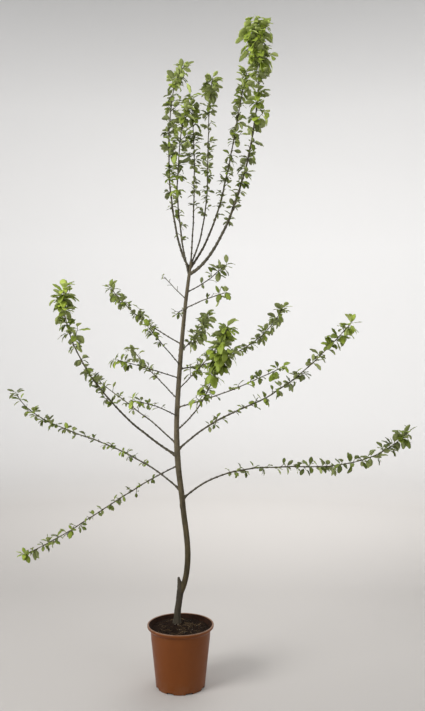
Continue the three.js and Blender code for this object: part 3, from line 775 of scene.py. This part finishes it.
def make_compost():
    bottom, sides = POT.floor + BED.off_floor, BED.sides
    side_profile = [(POT.base_radius - BED.off_foot, bottom),
                    (WALL_TOP.radius - BED.off_wall, WALL_TOP.height),
                    (SOIL_EDGE, COMPOST.edge_height - BED.edge_drop)]
    rings = [(r, 0) for r in np.linspace(SOIL_EDGE, 0, BED.rings + 1)[:-1]]
    points, quads, triangles = revolved(np.array([(0, bottom), *side_profile, *rings, (0, 0)], float), sides)
    top = np.concatenate([np.arange(len(side_profile) * sides, len(points) - 2), [len(points) - 1]])
    points[top, 2] = crumbled(points[top, 0], points[top, 1])
    parts = Parts()
    parts.add(points, quads, triangles)
    soil = soil_finish("damp_compost", (30, 20, 13), (46, 32, 23), 160)
    make_piece("compost_bed", parts, [soil], ["compost"])
    for name, recipe, strew in (
            ("compost_crumbs", CRUMBS, strew_crumbs), ("compost_chips", CHIPS, strew_chips),
            ("compost_straw", STRAWS, strew_straws), ("compost_grit", GRIT, strew_grit)):
        parts = Parts()
        strew(np.random.RandomState(recipe.seed), parts)
        finishes = [soil_finish(*finish, recipe.grain) for finish in recipe.finishes]
        make_piece(name, parts, finishes, ["compost"])


make_compost()

# Trunk and limbs

scion_route = smooth_route(SCION.route)
rootstock_route = smooth_route(ROOTSTOCK.route)

WAVER = Record(turns=0.016, most=2.6, apart=9.7, shift=50.0)


def lay_out(row, number):
    """A limb's route and measures. It wavers a little, as grown wood does."""
    foot = scion_route.at_height(row.foot)
    tip = foot + np.array(row.tip, float)
    leaving, arriving = np.array(getattr(row, "pull", EVEN_PULL)) * np.linalg.norm(tip - foot)
    smooth = bezier_route(foot, foot + heading(*row.leave) * leaving,
                          tip - heading(*row.arrive) * arriving, tip)
    reference = heading(row.leave[0] + 90, 0)
    shares = np.linspace(0, 1, 8 * SAMPLES)
    side, across = square_to(smooth.tangent(shares), reference)
    far = np.stack([shares * smooth.length, np.full_like(shares, WAVER.apart * number),
                    np.zeros_like(shares)], axis=1)
    swing = WAVER.most * np.sin(np.pi * shares)[:, None]
    points = smooth.at(shares) + side * swing * noise_at(far, WAVER.turns)[:, None] \
        + across * swing * noise_at(far, WAVER.turns, WAVER.shift)[:, None]
    row.number, row.route, row.reference = number, Route(points), reference
    return row


limbs = [lay_out(row, number) for number, row in enumerate(LIMBS)]
bough_nodes = ["bough_" + limb.name for limb in limbs if limb.bare > 0]
leaf_nodes = ["leaves_" + limb.name for limb in limbs]


def limb_radius(limb, shares):
    start, end = limb.radius
    return lerp(start, end, np.power(shares, 0.8))


def spur_shares(limb):
    """Each spur's number, place from 0 to 1 in the foliage, share of the limb's length and seeded draws. The
    last, at 1, is the bud at the tip."""
    count = max(1, round(limb.route.length * (1 - limb.bare) / SPUR.gap))
    for k in range(count):
        random = seeded(limb.number, k)
        place = (k + 0.5 + SPUR.wander * either_way(random())) / count
        yield k, place, lerp(limb.bare, 1, place), random
    yield count, 1.0, 1.0, seeded(limb.number, count)


LOWEST_BUD = 0.02


def dormant_shares(limb):
    """Where dormant buds sit on the bare wood, as shares of the limb's length from the foliage down."""
    gap = SPUR.gap / limb.route.length
    return np.arange(limb.bare - gap / 2, LOWEST_BUD, -gap)


COLLAR = Record(swell=0.75, fade=1.4, length=5.0, fork=1340, fork_swell=0.2)


def from_trunk(points):
    """How far points lie outside the scion's bark."""
    axis = scion_route.at_height(points[:, 2])
    return np.linalg.norm(points - axis, axis=1) - read_off(SCION.girth, points[:, 2])


def flared(limb, shares):
    """A limb's radius with the collar where it leaves the trunk."""
    radii = limb_radius(limb, shares)
    out = np.maximum(from_trunk(limb.route.at(shares)), 0)
    swell = COLLAR.swell if limb.foot < COLLAR.fork else COLLAR.fork_swell
    return radii * (1 + swell * np.exp(-out / (COLLAR.fade * radii)))


# The skin over rootstock, scion and the limbs' collars. The collars' share and reach are how much of a limb
# can be one, and they stand a little over the limb's own bark. overlap is the heights where the rootstock's
# bark gives way to the scion's, above the scion's foot and the rootstock's top. cut is how far below the
# compost's top the skin ends.
SKIN = Record(
    sides=40, scion_rings=600, stock_rings=120, flare=0.1, flare_height=7, stock_end=0.15,
    collar_share=0.3, collar_reach=60, collar_rings=60, collar_sides=20, collar_over=1.02,
    voxel=1.05, soften=0.5, soften_times=5, overlap=(8, 6), cut=8,
)
# The bark's relief in layers of [height, scale, shift], and how much rougher the rootstock is.
RIDGES = [(0.34, (0.3, 0.3, 0.04), 0.0), (0.22, (0.75, 0.75, 0.2), 5.0), (0.1, 1.3, 9.0)]
STOCK_ROUGHER = 1.7
LENTICELS = Record(count=420, height=0.34, long=(1.4, 3.2), tall=0.55, seed=21)
# Rings that healed round lost twigs: [height, turn, size].
SCARS = [(590, 200, 5.0), (668, -60, 4.2), (830, 120, 4.6), (985, -110, 4.0), (1090, 150, 3.6),
         (1190, -50, 3.4)]
SCAR = Record(ring=1.3, ring_at=0.8, ring_width=0.45, hollow=0.5, hollow_width=0.4, squat=0.8)


def skinned_trunk():
    """Rootstock, scion and the limbs' collars under one skin."""
    parts = Parts()
    shares = np.linspace(0, 1, SKIN.stock_rings)
    heights = rootstock_route.at(shares)[:, 2]
    flare = 1 + SKIN.flare * np.exp(-np.maximum(heights - FOOT.up, 0) / SKIN.flare_height)
    radii = read_off(ROOTSTOCK.girth, heights) * flare
    parts.add(*tube(rootstock_route, shares, radii, SKIN.sides, WESTWARD, SKIN.stock_end))
    shares = np.linspace(0, 1, SKIN.scion_rings)
    radii = read_off(SCION.girth, scion_route.at(shares)[:, 2])
    parts.add(*tube(scion_route, shares, radii, SKIN.sides, WESTWARD))
    for limb in limbs:
        reach = min(SKIN.collar_share, SKIN.collar_reach / limb.route.length)
        shares = np.linspace(0, reach, SKIN.collar_rings)
        shares = shares[from_trunk(limb.route.at(shares)) < COLLAR.length * limb.radius[0]]
        radii = flared(limb, shares) * SKIN.collar_over
        parts.add(*tube(limb.route, shares, radii, SKIN.collar_sides, limb.reference))
    blank = make_object("trunk_blank", parts)
    remesh = blank.modifiers.new("skin", "REMESH")
    remesh.mode, remesh.voxel_size = "VOXEL", SKIN.voxel * MM
    soften = blank.modifiers.new("soften", "SMOOTH")
    soften.factor, soften.iterations = SKIN.soften, SKIN.soften_times
    return applied(blank)


def round_trunk(points):
    """For points on the bark: whether they are the rootstock's, their turn round the axis, and how far out
    they are."""
    heights = points[:, 2]
    stock_axis, axis = rootstock_route.at_height(heights), scion_route.at_height(heights)
    to_stock = np.linalg.norm(points - stock_axis, axis=1) / read_off(ROOTSTOCK.girth, heights)
    to_scion = np.linalg.norm(points - axis, axis=1) / read_off(SCION.girth, heights)
    below, above = SCION.route[0][2] + SKIN.overlap[0], ROOTSTOCK.route[-1][2] + SKIN.overlap[1]
    is_stock = (heights < below) | ((heights < above) & (to_stock < to_scion))
    axis[is_stock] = stock_axis[is_stock]
    spoke = points - axis
    return is_stock, np.arctan2(spoke[:, 1], spoke[:, 0]), np.maximum(np.linalg.norm(spoke, axis=1), 1)


def bark_relief(points, is_stock, turn, girth):
    """How far the bark stands out at each point: ridges, lenticels and scars."""
    relief = layered_noise(points, RIDGES)
    relief[is_stock] *= STOCK_ROUGHER

    def from_mark(at, facing, reach):
        """The points within reach of a mark's height, and their ways round and up from it."""
        near = np.abs(points[:, 2] - at) < reach
        away = np.abs((turn[near] - facing + pi) % (2 * pi) - pi) * girth[near]
        return near, away, points[near, 2] - at

    random = np.random.RandomState(LENTICELS.seed)
    for _ in range(LENTICELS.count):
        at = lerp(ROOTSTOCK.route[0][2], SCION.route[-1][2], random.random())
        facing, long = 2 * pi * (random.random() - 0.5), between(LENTICELS.long, random.random())
        near, away, up = from_mark(at, facing, 4 * LENTICELS.tall)
        relief[near] += LENTICELS.height * np.exp(-(away / long)**2 - (up / LENTICELS.tall)**2)
    for at, facing, size in SCARS:
        near, away, up = from_mark(at, radians(facing), 3 * size)
        out = np.hypot(away, up * SCAR.squat) / size
        relief[near] += SCAR.ring * np.exp(-((out - SCAR.ring_at) / SCAR.ring_width)**2) \
            - SCAR.hollow * np.exp(-(out / SCAR.hollow_width)**2)
    return relief


def make_trunk():
    mesh = skinned_trunk()
    points = np.array([vertex.co for vertex in mesh.vertices]) / MM
    normals = np.array([normal.vector for normal in mesh.vertex_normals])
    is_stock, turn, girth = round_trunk(points)
    points += normals * bark_relief(points, is_stock, turn, girth)[:, None]
    points[:, 2] = np.maximum(points[:, 2], FOOT.up - SKIN.cut)
    mesh.vertices.foreach_set("co", (points * MM).astype(np.float32).ravel())
    mesh.update()
    mesh.shade_smooth()
    mesh.materials.clear()
    mesh.polygons.foreach_set("material_index", [is_stock[face.vertices[0]] for face in mesh.polygons])
    finishes = [bark_finish("scion_bark", (72, 64, 47), (116, 105, 82), 70, (0.42, 0.9)),
                bark_finish("rootstock_bark", (50, 44, 33), (74, 66, 51), 60)]
    make_piece("trunk_bark", mesh, finishes, ["trunk"])


make_trunk()

# The swellings of the wood at spurs and buds, and its relief in layers of [height, scale, shift].
NODE = Record(swell=0.34, bud_swell=0.272, long=2.6)
WOOD = Record(
    stout=2.5, sides=(14, 11), bough_step=1.9, shoot_step=2.4, along=0.12, round=1.4, apart=5.0,
    relief=[(0.11, 1.0, 0.0), (0.08, (4.0, 2.0, 2.0), 3.0)],
)


def limb_rings(limb, start, end, step):
    """A stretch of a limb as a tube: swollen at its spurs and buds, and with the bark's relief."""
    length = limb.route.length
    shares = np.linspace(start, end, max(4, round(length * (end - start) / step)))
    sides = WOOD.sides[0 if limb.radius[0] > WOOD.stout else 1]
    radii = flared(limb, shares)
    nodes = [(share, NODE.swell) for _, _, share, _ in spur_shares(limb)]
    for share, swell in nodes + [(share, NODE.bud_swell) for share in dormant_shares(limb)]:
        radii *= 1 + swell * np.exp(-((shares - share) * length / NODE.long)**2)
    turns = circle(sides)
    grid = np.stack([np.repeat((shares * length)[:, None], sides, axis=1) * WOOD.along,
                     np.tile(np.cos(turns), (len(shares), 1)) * WOOD.round + limb.number * WOOD.apart,
                     np.tile(np.sin(turns), (len(shares), 1)) * WOOD.round], axis=-1)
    radii = radii[:, None] * (1 + layered_noise(grid, WOOD.relief))
    return tube(limb.route, shares, radii, sides, limb.reference)


def make_boughs():
    boughs, shoots = Parts(), Parts()
    for limb in limbs:
        if limb.bare > 0:
            boughs.add(*limb_rings(limb, 0, limb.bare, WOOD.bough_step))
        shoots.add(*limb_rings(limb, limb.bare, 1, WOOD.shoot_step))
    make_piece("bough_bark", boughs,
               [bark_finish("bough_wood", (64, 60, 48), (95, 89, 72), 110)], bough_nodes)
    make_piece("shoot_bark", shoots,
               [bark_finish("shoot_wood", (67, 63, 47), (98, 92, 67), 130)], leaf_nodes)


make_boughs()

# Spurs and leaves

STRETCHES = 24
CLEAR_OF_WOOD = 1.0


def wood_segments():
    """Every limb and the trunk as straight stretches: starts, ends, radii and whose they are."""
    shares = np.linspace(0, 1, STRETCHES + 1)
    stretches = []
    for limb in [*limbs, Record(route=scion_route, number=-1)]:
        points = limb.route.at(shares)
        is_trunk = limb.number < 0
        radii = read_off(SCION.girth, points[:-1, 2]) if is_trunk else limb_radius(limb, shares[:-1])
        stretches.append((points[:-1], points[1:], radii, np.full(STRETCHES, limb.number)))
    return [np.concatenate(values) for values in zip(*stretches)]


wood = wood_segments()


def clear_of_wood(points, owner):
    """Whether points lie outside all wood but their own limb's."""
    starts, ends, radii, owners = wood
    along = ends - starts
    for point in points:
        share = np.clip(np.sum((point - starts) * along, axis=1) / np.sum(along * along, axis=1), 0, 1)
        gaps = np.linalg.norm(starts + along * share[:, None] - point, axis=1) - radii
        if np.any(gaps[owners != owner] < CLEAR_OF_WOOD):
            return False
    return True


def grow_spurs(limb):
    """The spurs of a limb's foliage and the leaves on each, by the seeded rule."""
    forward, out, rise = SPUR.lean
    for k, place, share, random in spur_shares(limb):
        is_bud = place == 1
        tangent = limb.route.tangent(share)
        turn = radians(k * SPUR.spiral + SPUR.turn_wander * either_way(random()))
        outward = square_at(tangent, limb.reference, turn)
        direction = tangent if is_bud else unit(tangent * forward + outward * out + UP * rise)
        spur = Record(
            limb=limb, is_bud=is_bud, place=place, outward=outward, direction=direction,
            root=limb.route.at(share),
            length=BUD.length if is_bud else between(SPUR.length, random()),
            radius=min(SPUR.radius, SPUR.slimness * limb_radius(limb, share)),
        )
        fullness = lerp(limb.thin, 1, place**1.2) * between(SPUR.fullness, random())
        wanted = limb.crowd + BUD.extra_leaves if is_bud else round(limb.crowd * fullness)
        spur.shade = random()
        grown = [grow_leaf(spur, j, random) for j in range(wanted)]
        spur.leaves = [leaf for leaf in grown if clear_of_wood([leaf.middle, leaf.tip], limb.number)]
        yield spur


def grow_leaf(spur, j, random):
    """One leaf of a spur's rosette."""
    limb = spur.limb
    turn = between(LEAF.turn, random())
    turn = radians(j * GOLDEN_ANGLE + turn if spur.is_bud else (-1 if j % 2 else 1) * turn)
    opening = radians(between(LEAF.other if j else LEAF.first, random()))
    direction = turned(spur.direction, square_at(spur.direction, spur.outward, turn), opening)
    height = max(SPUR.lowest_leaf, SPUR.top_leaf - SPUR.leaf_gap * j) * spur.length
    root = spur.root + spur.direction * height
    length = limb.leaf * between(LEAF.growth, spur.place) * between(LEAF.size, random())
    return set_leaf(root, direction, spur.direction, between(LEAF.droop, random()**1.4), length, random)


def set_leaf(root, direction, stem, droop, length, random):
    """A leaf from its root: its direction after it droops, the side it faces and its shape."""
    direction = unit(direction - UP * droop)
    facing = UP + stem * LEAF.facing + LEAF.facing_out * unit(stem * [1, 1, 0] + 0.01)
    roll = radians(between(LEAF.roll, random()))
    return Record(
        root=root, direction=direction, normal=square_at(direction, facing, roll), length=length,
        middle=root + direction * length * 0.5, tip=root + direction * length,
        bend=between(LEAF.bend, random()**1.3), fold=between(LEAF.fold, random()**1.4),
        twist=between(LEAF.twist, random()), wave=random() * 2 * pi, shade=random(),
    )


def grow_shoot(limb, route, length, number):
    """The single leaves of young growth along a route's last stretch."""
    count = round(length * limb.crowd / SHOOT.spread)
    for k in range(count):
        random = seeded(limb.number + 100 * (number + 1), k)
        age = (k + SHOOT.wander * random()) / count
        share = 1 - length / route.length * age
        tangent = route.tangent(share)
        turn = radians(k * SPUR.spiral + SPUR.turn_wander * either_way(random()))
        outward = square_at(tangent, limb.reference, turn)
        opening = between(SHOOT.opening, age**0.6) + SHOOT.opening_wander * either_way(random())
        direction = turned(tangent, outward, radians(opening))
        root = route.at(share) + outward * SHOOT.radius * SHOOT.sink
        size = between(SHOOT.growth, min(1, 3 * age)) * between(SHOOT.size, random())
        droop = between(SHOOT.droop, min(1, 2 * age) * random()**0.7) * limb.leaf / SHOOT.stiff_leaf
        leaf = set_leaf(root, direction, unit(tangent + outward), droop, limb.leaf * size, random)
        leaf.youth = 1 - age
        if clear_of_wood([leaf.middle, leaf.tip], limb.number):
            yield leaf


def side_twigs(limb):
    """The side twigs of a strong shoot, as routes that bend towards its tip."""
    for down, length, turn, lean in TWIGS.get(limb.name, []):
        share = 1 - down / limb.route.length
        root, tangent = limb.route.at(share), limb.route.tangent(share)
        aside = unit(tangent + lean * square_at(tangent, limb.reference, radians(turn)))
        pulls = [root + aside * length * pull for pull in TWIG.pull]
        yield bezier_route(root, *pulls, root + unit(aside + TWIG.rise * tangent) * length)


# Stations along a blade, and columns across its upper side.
STATIONS = 11
COLUMNS = (-1.0, -0.5, 0.0, 0.5, 1.0)
BLADE = Record(
    base=0.88, tip=0.8, least=0.018, tooth=0.04, hollow=0.4, tooth_lean=0.27, thick=0.34, rib=0.5,
    rib_taper=0.7, fold_taper=0.4, ripple=0.09, ripples=15,
)


def blade_faces():
    """The quads and end triangles of a blade, and 0 for its upper and 1 for its lower faces. A ring of
    corners runs across the upper side and back below it."""
    ring = 2 * len(COLUMNS) - 2
    quads = ring_faces(STATIONS, ring)[0]
    below = np.arange(len(quads)) % ring >= len(COLUMNS) - 1
    quads[below] = np.roll(quads[below], 1, axis=1)
    end_quads, end_triangles = np.array([(1, 2, 6, 7), (2, 3, 5, 6)]), np.array([(0, 1, 7), (3, 4, 5)])
    last = (STATIONS - 1) * ring
    quads = np.vstack([quads, end_quads, end_quads[:, ::-1] + last])
    ends = np.vstack([end_triangles, end_triangles[:, ::-1] + last])
    return quads, ends, below.astype(int).tolist() + [1] * 4 + [1] * len(ends)


QUADS, ENDS, SIDES = blade_faces()


def blade_points(leaf):
    """The corners of a blade: folded along its midrib, bent back, a little twisted, and toothed."""
    length = leaf.length * LEAF.blade
    share, column = np.linspace(0, 1, STATIONS), np.array(COLUMNS)
    width = share**BLADE.base * (1 - share)**BLADE.tip
    width = length * LEAF.width / 2 * np.maximum(width / width.max(), BLADE.least)
    direction, normal = leaf.direction, leaf.normal
    across = np.cross(normal, direction)
    bend = (leaf.bend * share)[:, None]
    ahead, rise = turned(direction, -normal, bend), turned(normal, direction, bend)
    step = length / (STATIONS - 1)
    rib = leaf.root + direction * leaf.length * LEAF.stalk \
        + np.vstack([np.zeros(3), np.cumsum((ahead[:-1] + ahead[1:]) / 2 * step, axis=0)])
    twist = (leaf.twist * share)[:, None]
    aside, rise = turned(across, rise, twist), turned(rise, -across, twist)
    fold = leaf.fold * (1 - BLADE.fold_taper * share)[:, None]
    ripple = BLADE.ripple * np.sin(BLADE.ripples * share + leaf.wave)[:, None]
    reach = width[:, None] * column
    lift = width[:, None] * (np.abs(column) * np.sin(fold) + ripple * np.sign(column) * column**2)
    points = rib[:, None] + aside[:, None] * (reach * np.cos(fold))[..., None] \
        + rise[:, None] * lift[..., None]
    # Teeth stand out and lean towards the tip, with hollows between them.
    tooth = np.where(np.arange(STATIONS) % 2, 1.0, -BLADE.hollow)[1:-1, None]
    for c, way in ((0, -1), (len(COLUMNS) - 1, 1)):
        points[1:-1, c] += aside[1:-1] * way * tooth * BLADE.tooth * width[1:-1, None]
        points[1:-1, c] += ahead[1:-1] * tooth * BLADE.tooth_lean * step
    inner, half = points[:, 1:-1], rise[:, None] * BLADE.thick / 2
    ridge = BLADE.rib * (1 - BLADE.rib_taper * share)[:, None] * (column[1:-1] == 0)
    under = inner - half - rise[:, None] * ridge[..., None]
    points[:, 1:-1] = inner + half
    return np.concatenate([points, under[:, ::-1]], axis=1)


# Leaf colours from old to young: the upper side and the underside, in sRGB.
TINTS = [
    ("deep", (91, 103, 37), (137, 146, 94)),
    ("green", (118, 132, 49), (157, 167, 105)),
    ("mid", (144, 162, 58), (174, 186, 113)),
    ("bright", (170, 189, 70), (190, 203, 119)),
    ("young", (196, 213, 98), (206, 220, 134)),
]
# What makes a leaf young: its place on a fresh limb, its spray and its own draw.
YOUTH = Record(place=2.1, spray=1.8, own=1.3, less=0.6)
# How far up its limb a leaf of a last bud or of young growth counts, and the spray of young growth.
YOUNG = Record(bud=0.3, shoot=0.85, tip=0.4, spray=0.45)


def tint_of(limb, place, spray, own):
    """A leaf's colour, by its spray: younger towards the tip of a fresh limb."""
    youth = limb.fresh * place**2.5 * YOUTH.place + YOUTH.spray * spray + YOUTH.own * own - YOUTH.less
    return int(np.clip(youth, 0, len(TINTS) - 1))


# A bud's rings from its foot to its point: where each stands and how thick it is.
BUD_SHARES = np.array([0.0, 0.25, 0.55, 0.85, 1.0])
BUD_GIRTH = np.array([0.7, 1.0, 0.85, 0.4, 0.12])
# [length, radius] of the bud at a spur's end and of a dormant one, and how a dormant one sits on the wood.
SPUR_BUD = (3.2, 1.0)
DORMANT_BUD = (4.2, 1.25)
DORMANT = Record(out=0.6, forward=0.7)
STALK_RADII = np.array([0.75, 0.55, 0.5, 0.42])


def pointed_bud(root, direction, length, radius):
    route = Route([root, root + direction * length])
    reference = direction[[1, 2, 0]] + 0.01
    return tube(route, BUD_SHARES, radius * BUD_GIRTH, sides=6, reference=reference)


def add_leaf(leaf, blade, stalks):
    blade.add(blade_points(leaf), QUADS, ENDS, SIDES)
    base = leaf.root + leaf.direction * leaf.length * LEAF.stalk_end
    sag = (leaf.root + base) / 2 - leaf.normal * leaf.length * LEAF.sag
    shares = np.linspace(0, 1, len(STALK_RADII))
    route = Route([leaf.root, sag, base])
    stalks.add(*tube(route, shares, STALK_RADII, sides=5, reference=leaf.normal))


def add_spur(spur, twigs):
    """A spur's wood, ringed with scars, and the bud at its end."""
    tip = spur.root + spur.direction * spur.length
    if not spur.is_bud:
        shares = np.linspace(0, 1, SPUR.rings)
        scars = 1 + SPUR.scars * np.cos(np.arange(SPUR.rings) * pi)
        radii = lerp(spur.radius, SPUR.taper * spur.radius, shares) * scars
        twigs.add(*tube(Route([spur.root, tip]), shares, radii, sides=7, reference=spur.outward))
    twigs.add(*pointed_bud(tip, spur.direction, *SPUR_BUD))


def add_dormant_buds(limb, twigs):
    """Dormant buds on a limb's bare wood, clear of the trunk."""
    for k, share in enumerate(dormant_shares(limb)):
        point, tangent = limb.route.at(share), limb.route.tangent(share)
        if from_trunk(point[None])[0] < BUD.off_trunk:
            continue
        outward = square_at(tangent, limb.reference, radians(-(k + 1) * SPUR.spiral))
        root = point + outward * limb_radius(limb, share) * DORMANT.out
        twigs.add(*pointed_bud(root, unit(tangent * DORMANT.forward + outward), *DORMANT_BUD))


def make_foliage():
    blades = [Parts() for _ in TINTS]
    twigs, stalks = Parts(), Parts()
    for limb in limbs:
        for spur in grow_spurs(limb):
            add_spur(spur, twigs)
            place = spur.place + (YOUNG.bud if spur.is_bud else 0)
            for leaf in spur.leaves:
                add_leaf(leaf, blades[tint_of(limb, place, spur.shade, leaf.shade)], stalks)
        shoots = [(route, route.length * TWIG.leafy) for route in side_twigs(limb)]
        for number, (route, length) in enumerate([(limb.route, limb.shoot), *shoots]):
            if number:
                shares = np.linspace(0, 1, TWIG.rings)
                radii = lerp(*TWIG.radius, shares)
                twigs.add(*tube(route, shares, radii, TWIG.sides, limb.reference))
            for leaf in grow_shoot(limb, route, length, number):
                place = YOUNG.shoot + YOUNG.tip * leaf.youth
                add_leaf(leaf, blades[tint_of(limb, place, YOUNG.spray, leaf.shade)], stalks)
        add_dormant_buds(limb, twigs)
    for (name, upper, under), parts in zip(TINTS, blades):
        finishes = [leaf_finish("leaf_" + name, upper, 0.5),
                    leaf_finish("leaf_" + name + "_under", under, 0.72)]
        make_piece("leaves_" + name, parts, finishes, leaf_nodes)
    make_piece("spurs_and_buds", twigs,
               [bark_finish("spur_wood", (68, 62, 44), (98, 90, 62), 200)], leaf_nodes)
    make_piece("leaf_stalks", stalks,
               [leaf_finish("stalk_green", (120, 128, 66), 0.55)], leaf_nodes)


make_foliage()

# Studio

# The paper's colour carries painted light and shade by distance from the middle: darker on the floor near
# the middle and high on the wall, brightest low on the wall. Its stops are [metres from the middle, red, how
# much less green, and blue twice].
STUDIO = Record(
    radius=7500, cove=3200, height=7600, sides=128, floor_rings=(400, 1200, 2400, 3600),
    cove_rings=25, wall_rings=6, drop=0.5,
    shades=[(0, 202, 4.5), (3.3, 202, 4), (5.9, 231, 1.5), (7.8, 244, 1), (8.6, 237, 1), (9.5, 209, 1)],
)


def make_sweep():
    """A round sweep: a floor that curves up into a wall on all sides."""
    radius, cove, sides = STUDIO.radius, STUDIO.cove, STUDIO.sides
    turns = np.linspace(0, pi / 2, STUDIO.cove_rings)
    profile = [(r, 0) for r in STUDIO.floor_rings]
    profile += [(radius - cove + cove * sin(t), cove - cove * cos(t)) for t in turns]
    profile += [(radius, h) for h in np.linspace(cove, STUDIO.height, STUDIO.wall_rings)[1:]]
    quads, fans = ring_faces(len(profile), sides)
    parts = Parts()
    parts.add(np.vstack([lathed(np.array(profile, float), sides), (0, 0, 0)]), quads, fans[:sides])
    finish = Finish("paper_sweep", 0.9, Specular_IOR_Level=0.1)
    # The base colour is painted with light and shade by distance from the middle.
    scale = 1 / STUDIO.shades[-1][0]
    away = finish.node("VectorMath", "Value", {0: finish.place((scale, scale, scale))}, operation="LENGTH")
    shades = [(metres * scale, (red, red - warm, red - 2 * warm)) for metres, red, warm in STUDIO.shades]
    finish.feed(Base_Color=finish.ramp(away, shades))
    sweep = make_object("sweep", parts, [finish.material])
    sweep.location.z = -STUDIO.drop * MM


make_sweep()

# Square soft lights: [name, place, aim, size, watts], in metres.
LIGHTS = [
    ("key", (-3.4, -2.6, 3.2), (0, 0, 0.9), 2.2, 170),
    ("fill", (3.6, -3.0, 2.2), (0, 0, 1.1), 2.4, 20),
    ("floor_light", (0.5, 0.95, 1.3), (0.5, 0.85, 0), 1.2, 7),
    ("wall_light", (0.6, 2.05, 3.0), (0.8, 7.4, 1.12), 2.4, 110),
]
SKY = {"Color": (0.96, 0.98, 1.0, 1), "Strength": 0.5}


def make_lights():
    for name, place, aim, size, watts in LIGHTS:
        data = bpy.data.lights.new(name, "AREA")
        data.shape, data.size, data.energy = "SQUARE", size, watts
        light = link(name, data)
        light.location = place
        light.rotation_euler = (Vector(aim) - Vector(place)).to_track_quat("-Z", "Y").to_euler()
        light.visible_camera = False
    world = bpy.data.worlds.new("studio")
    world.use_nodes = True
    for socket, value in SKY.items():
        world.node_tree.nodes["Background"].inputs[socket].default_value = value
    bpy.context.scene.world = world
    bpy.context.scene.view_settings.view_transform = "Standard"


make_lights()
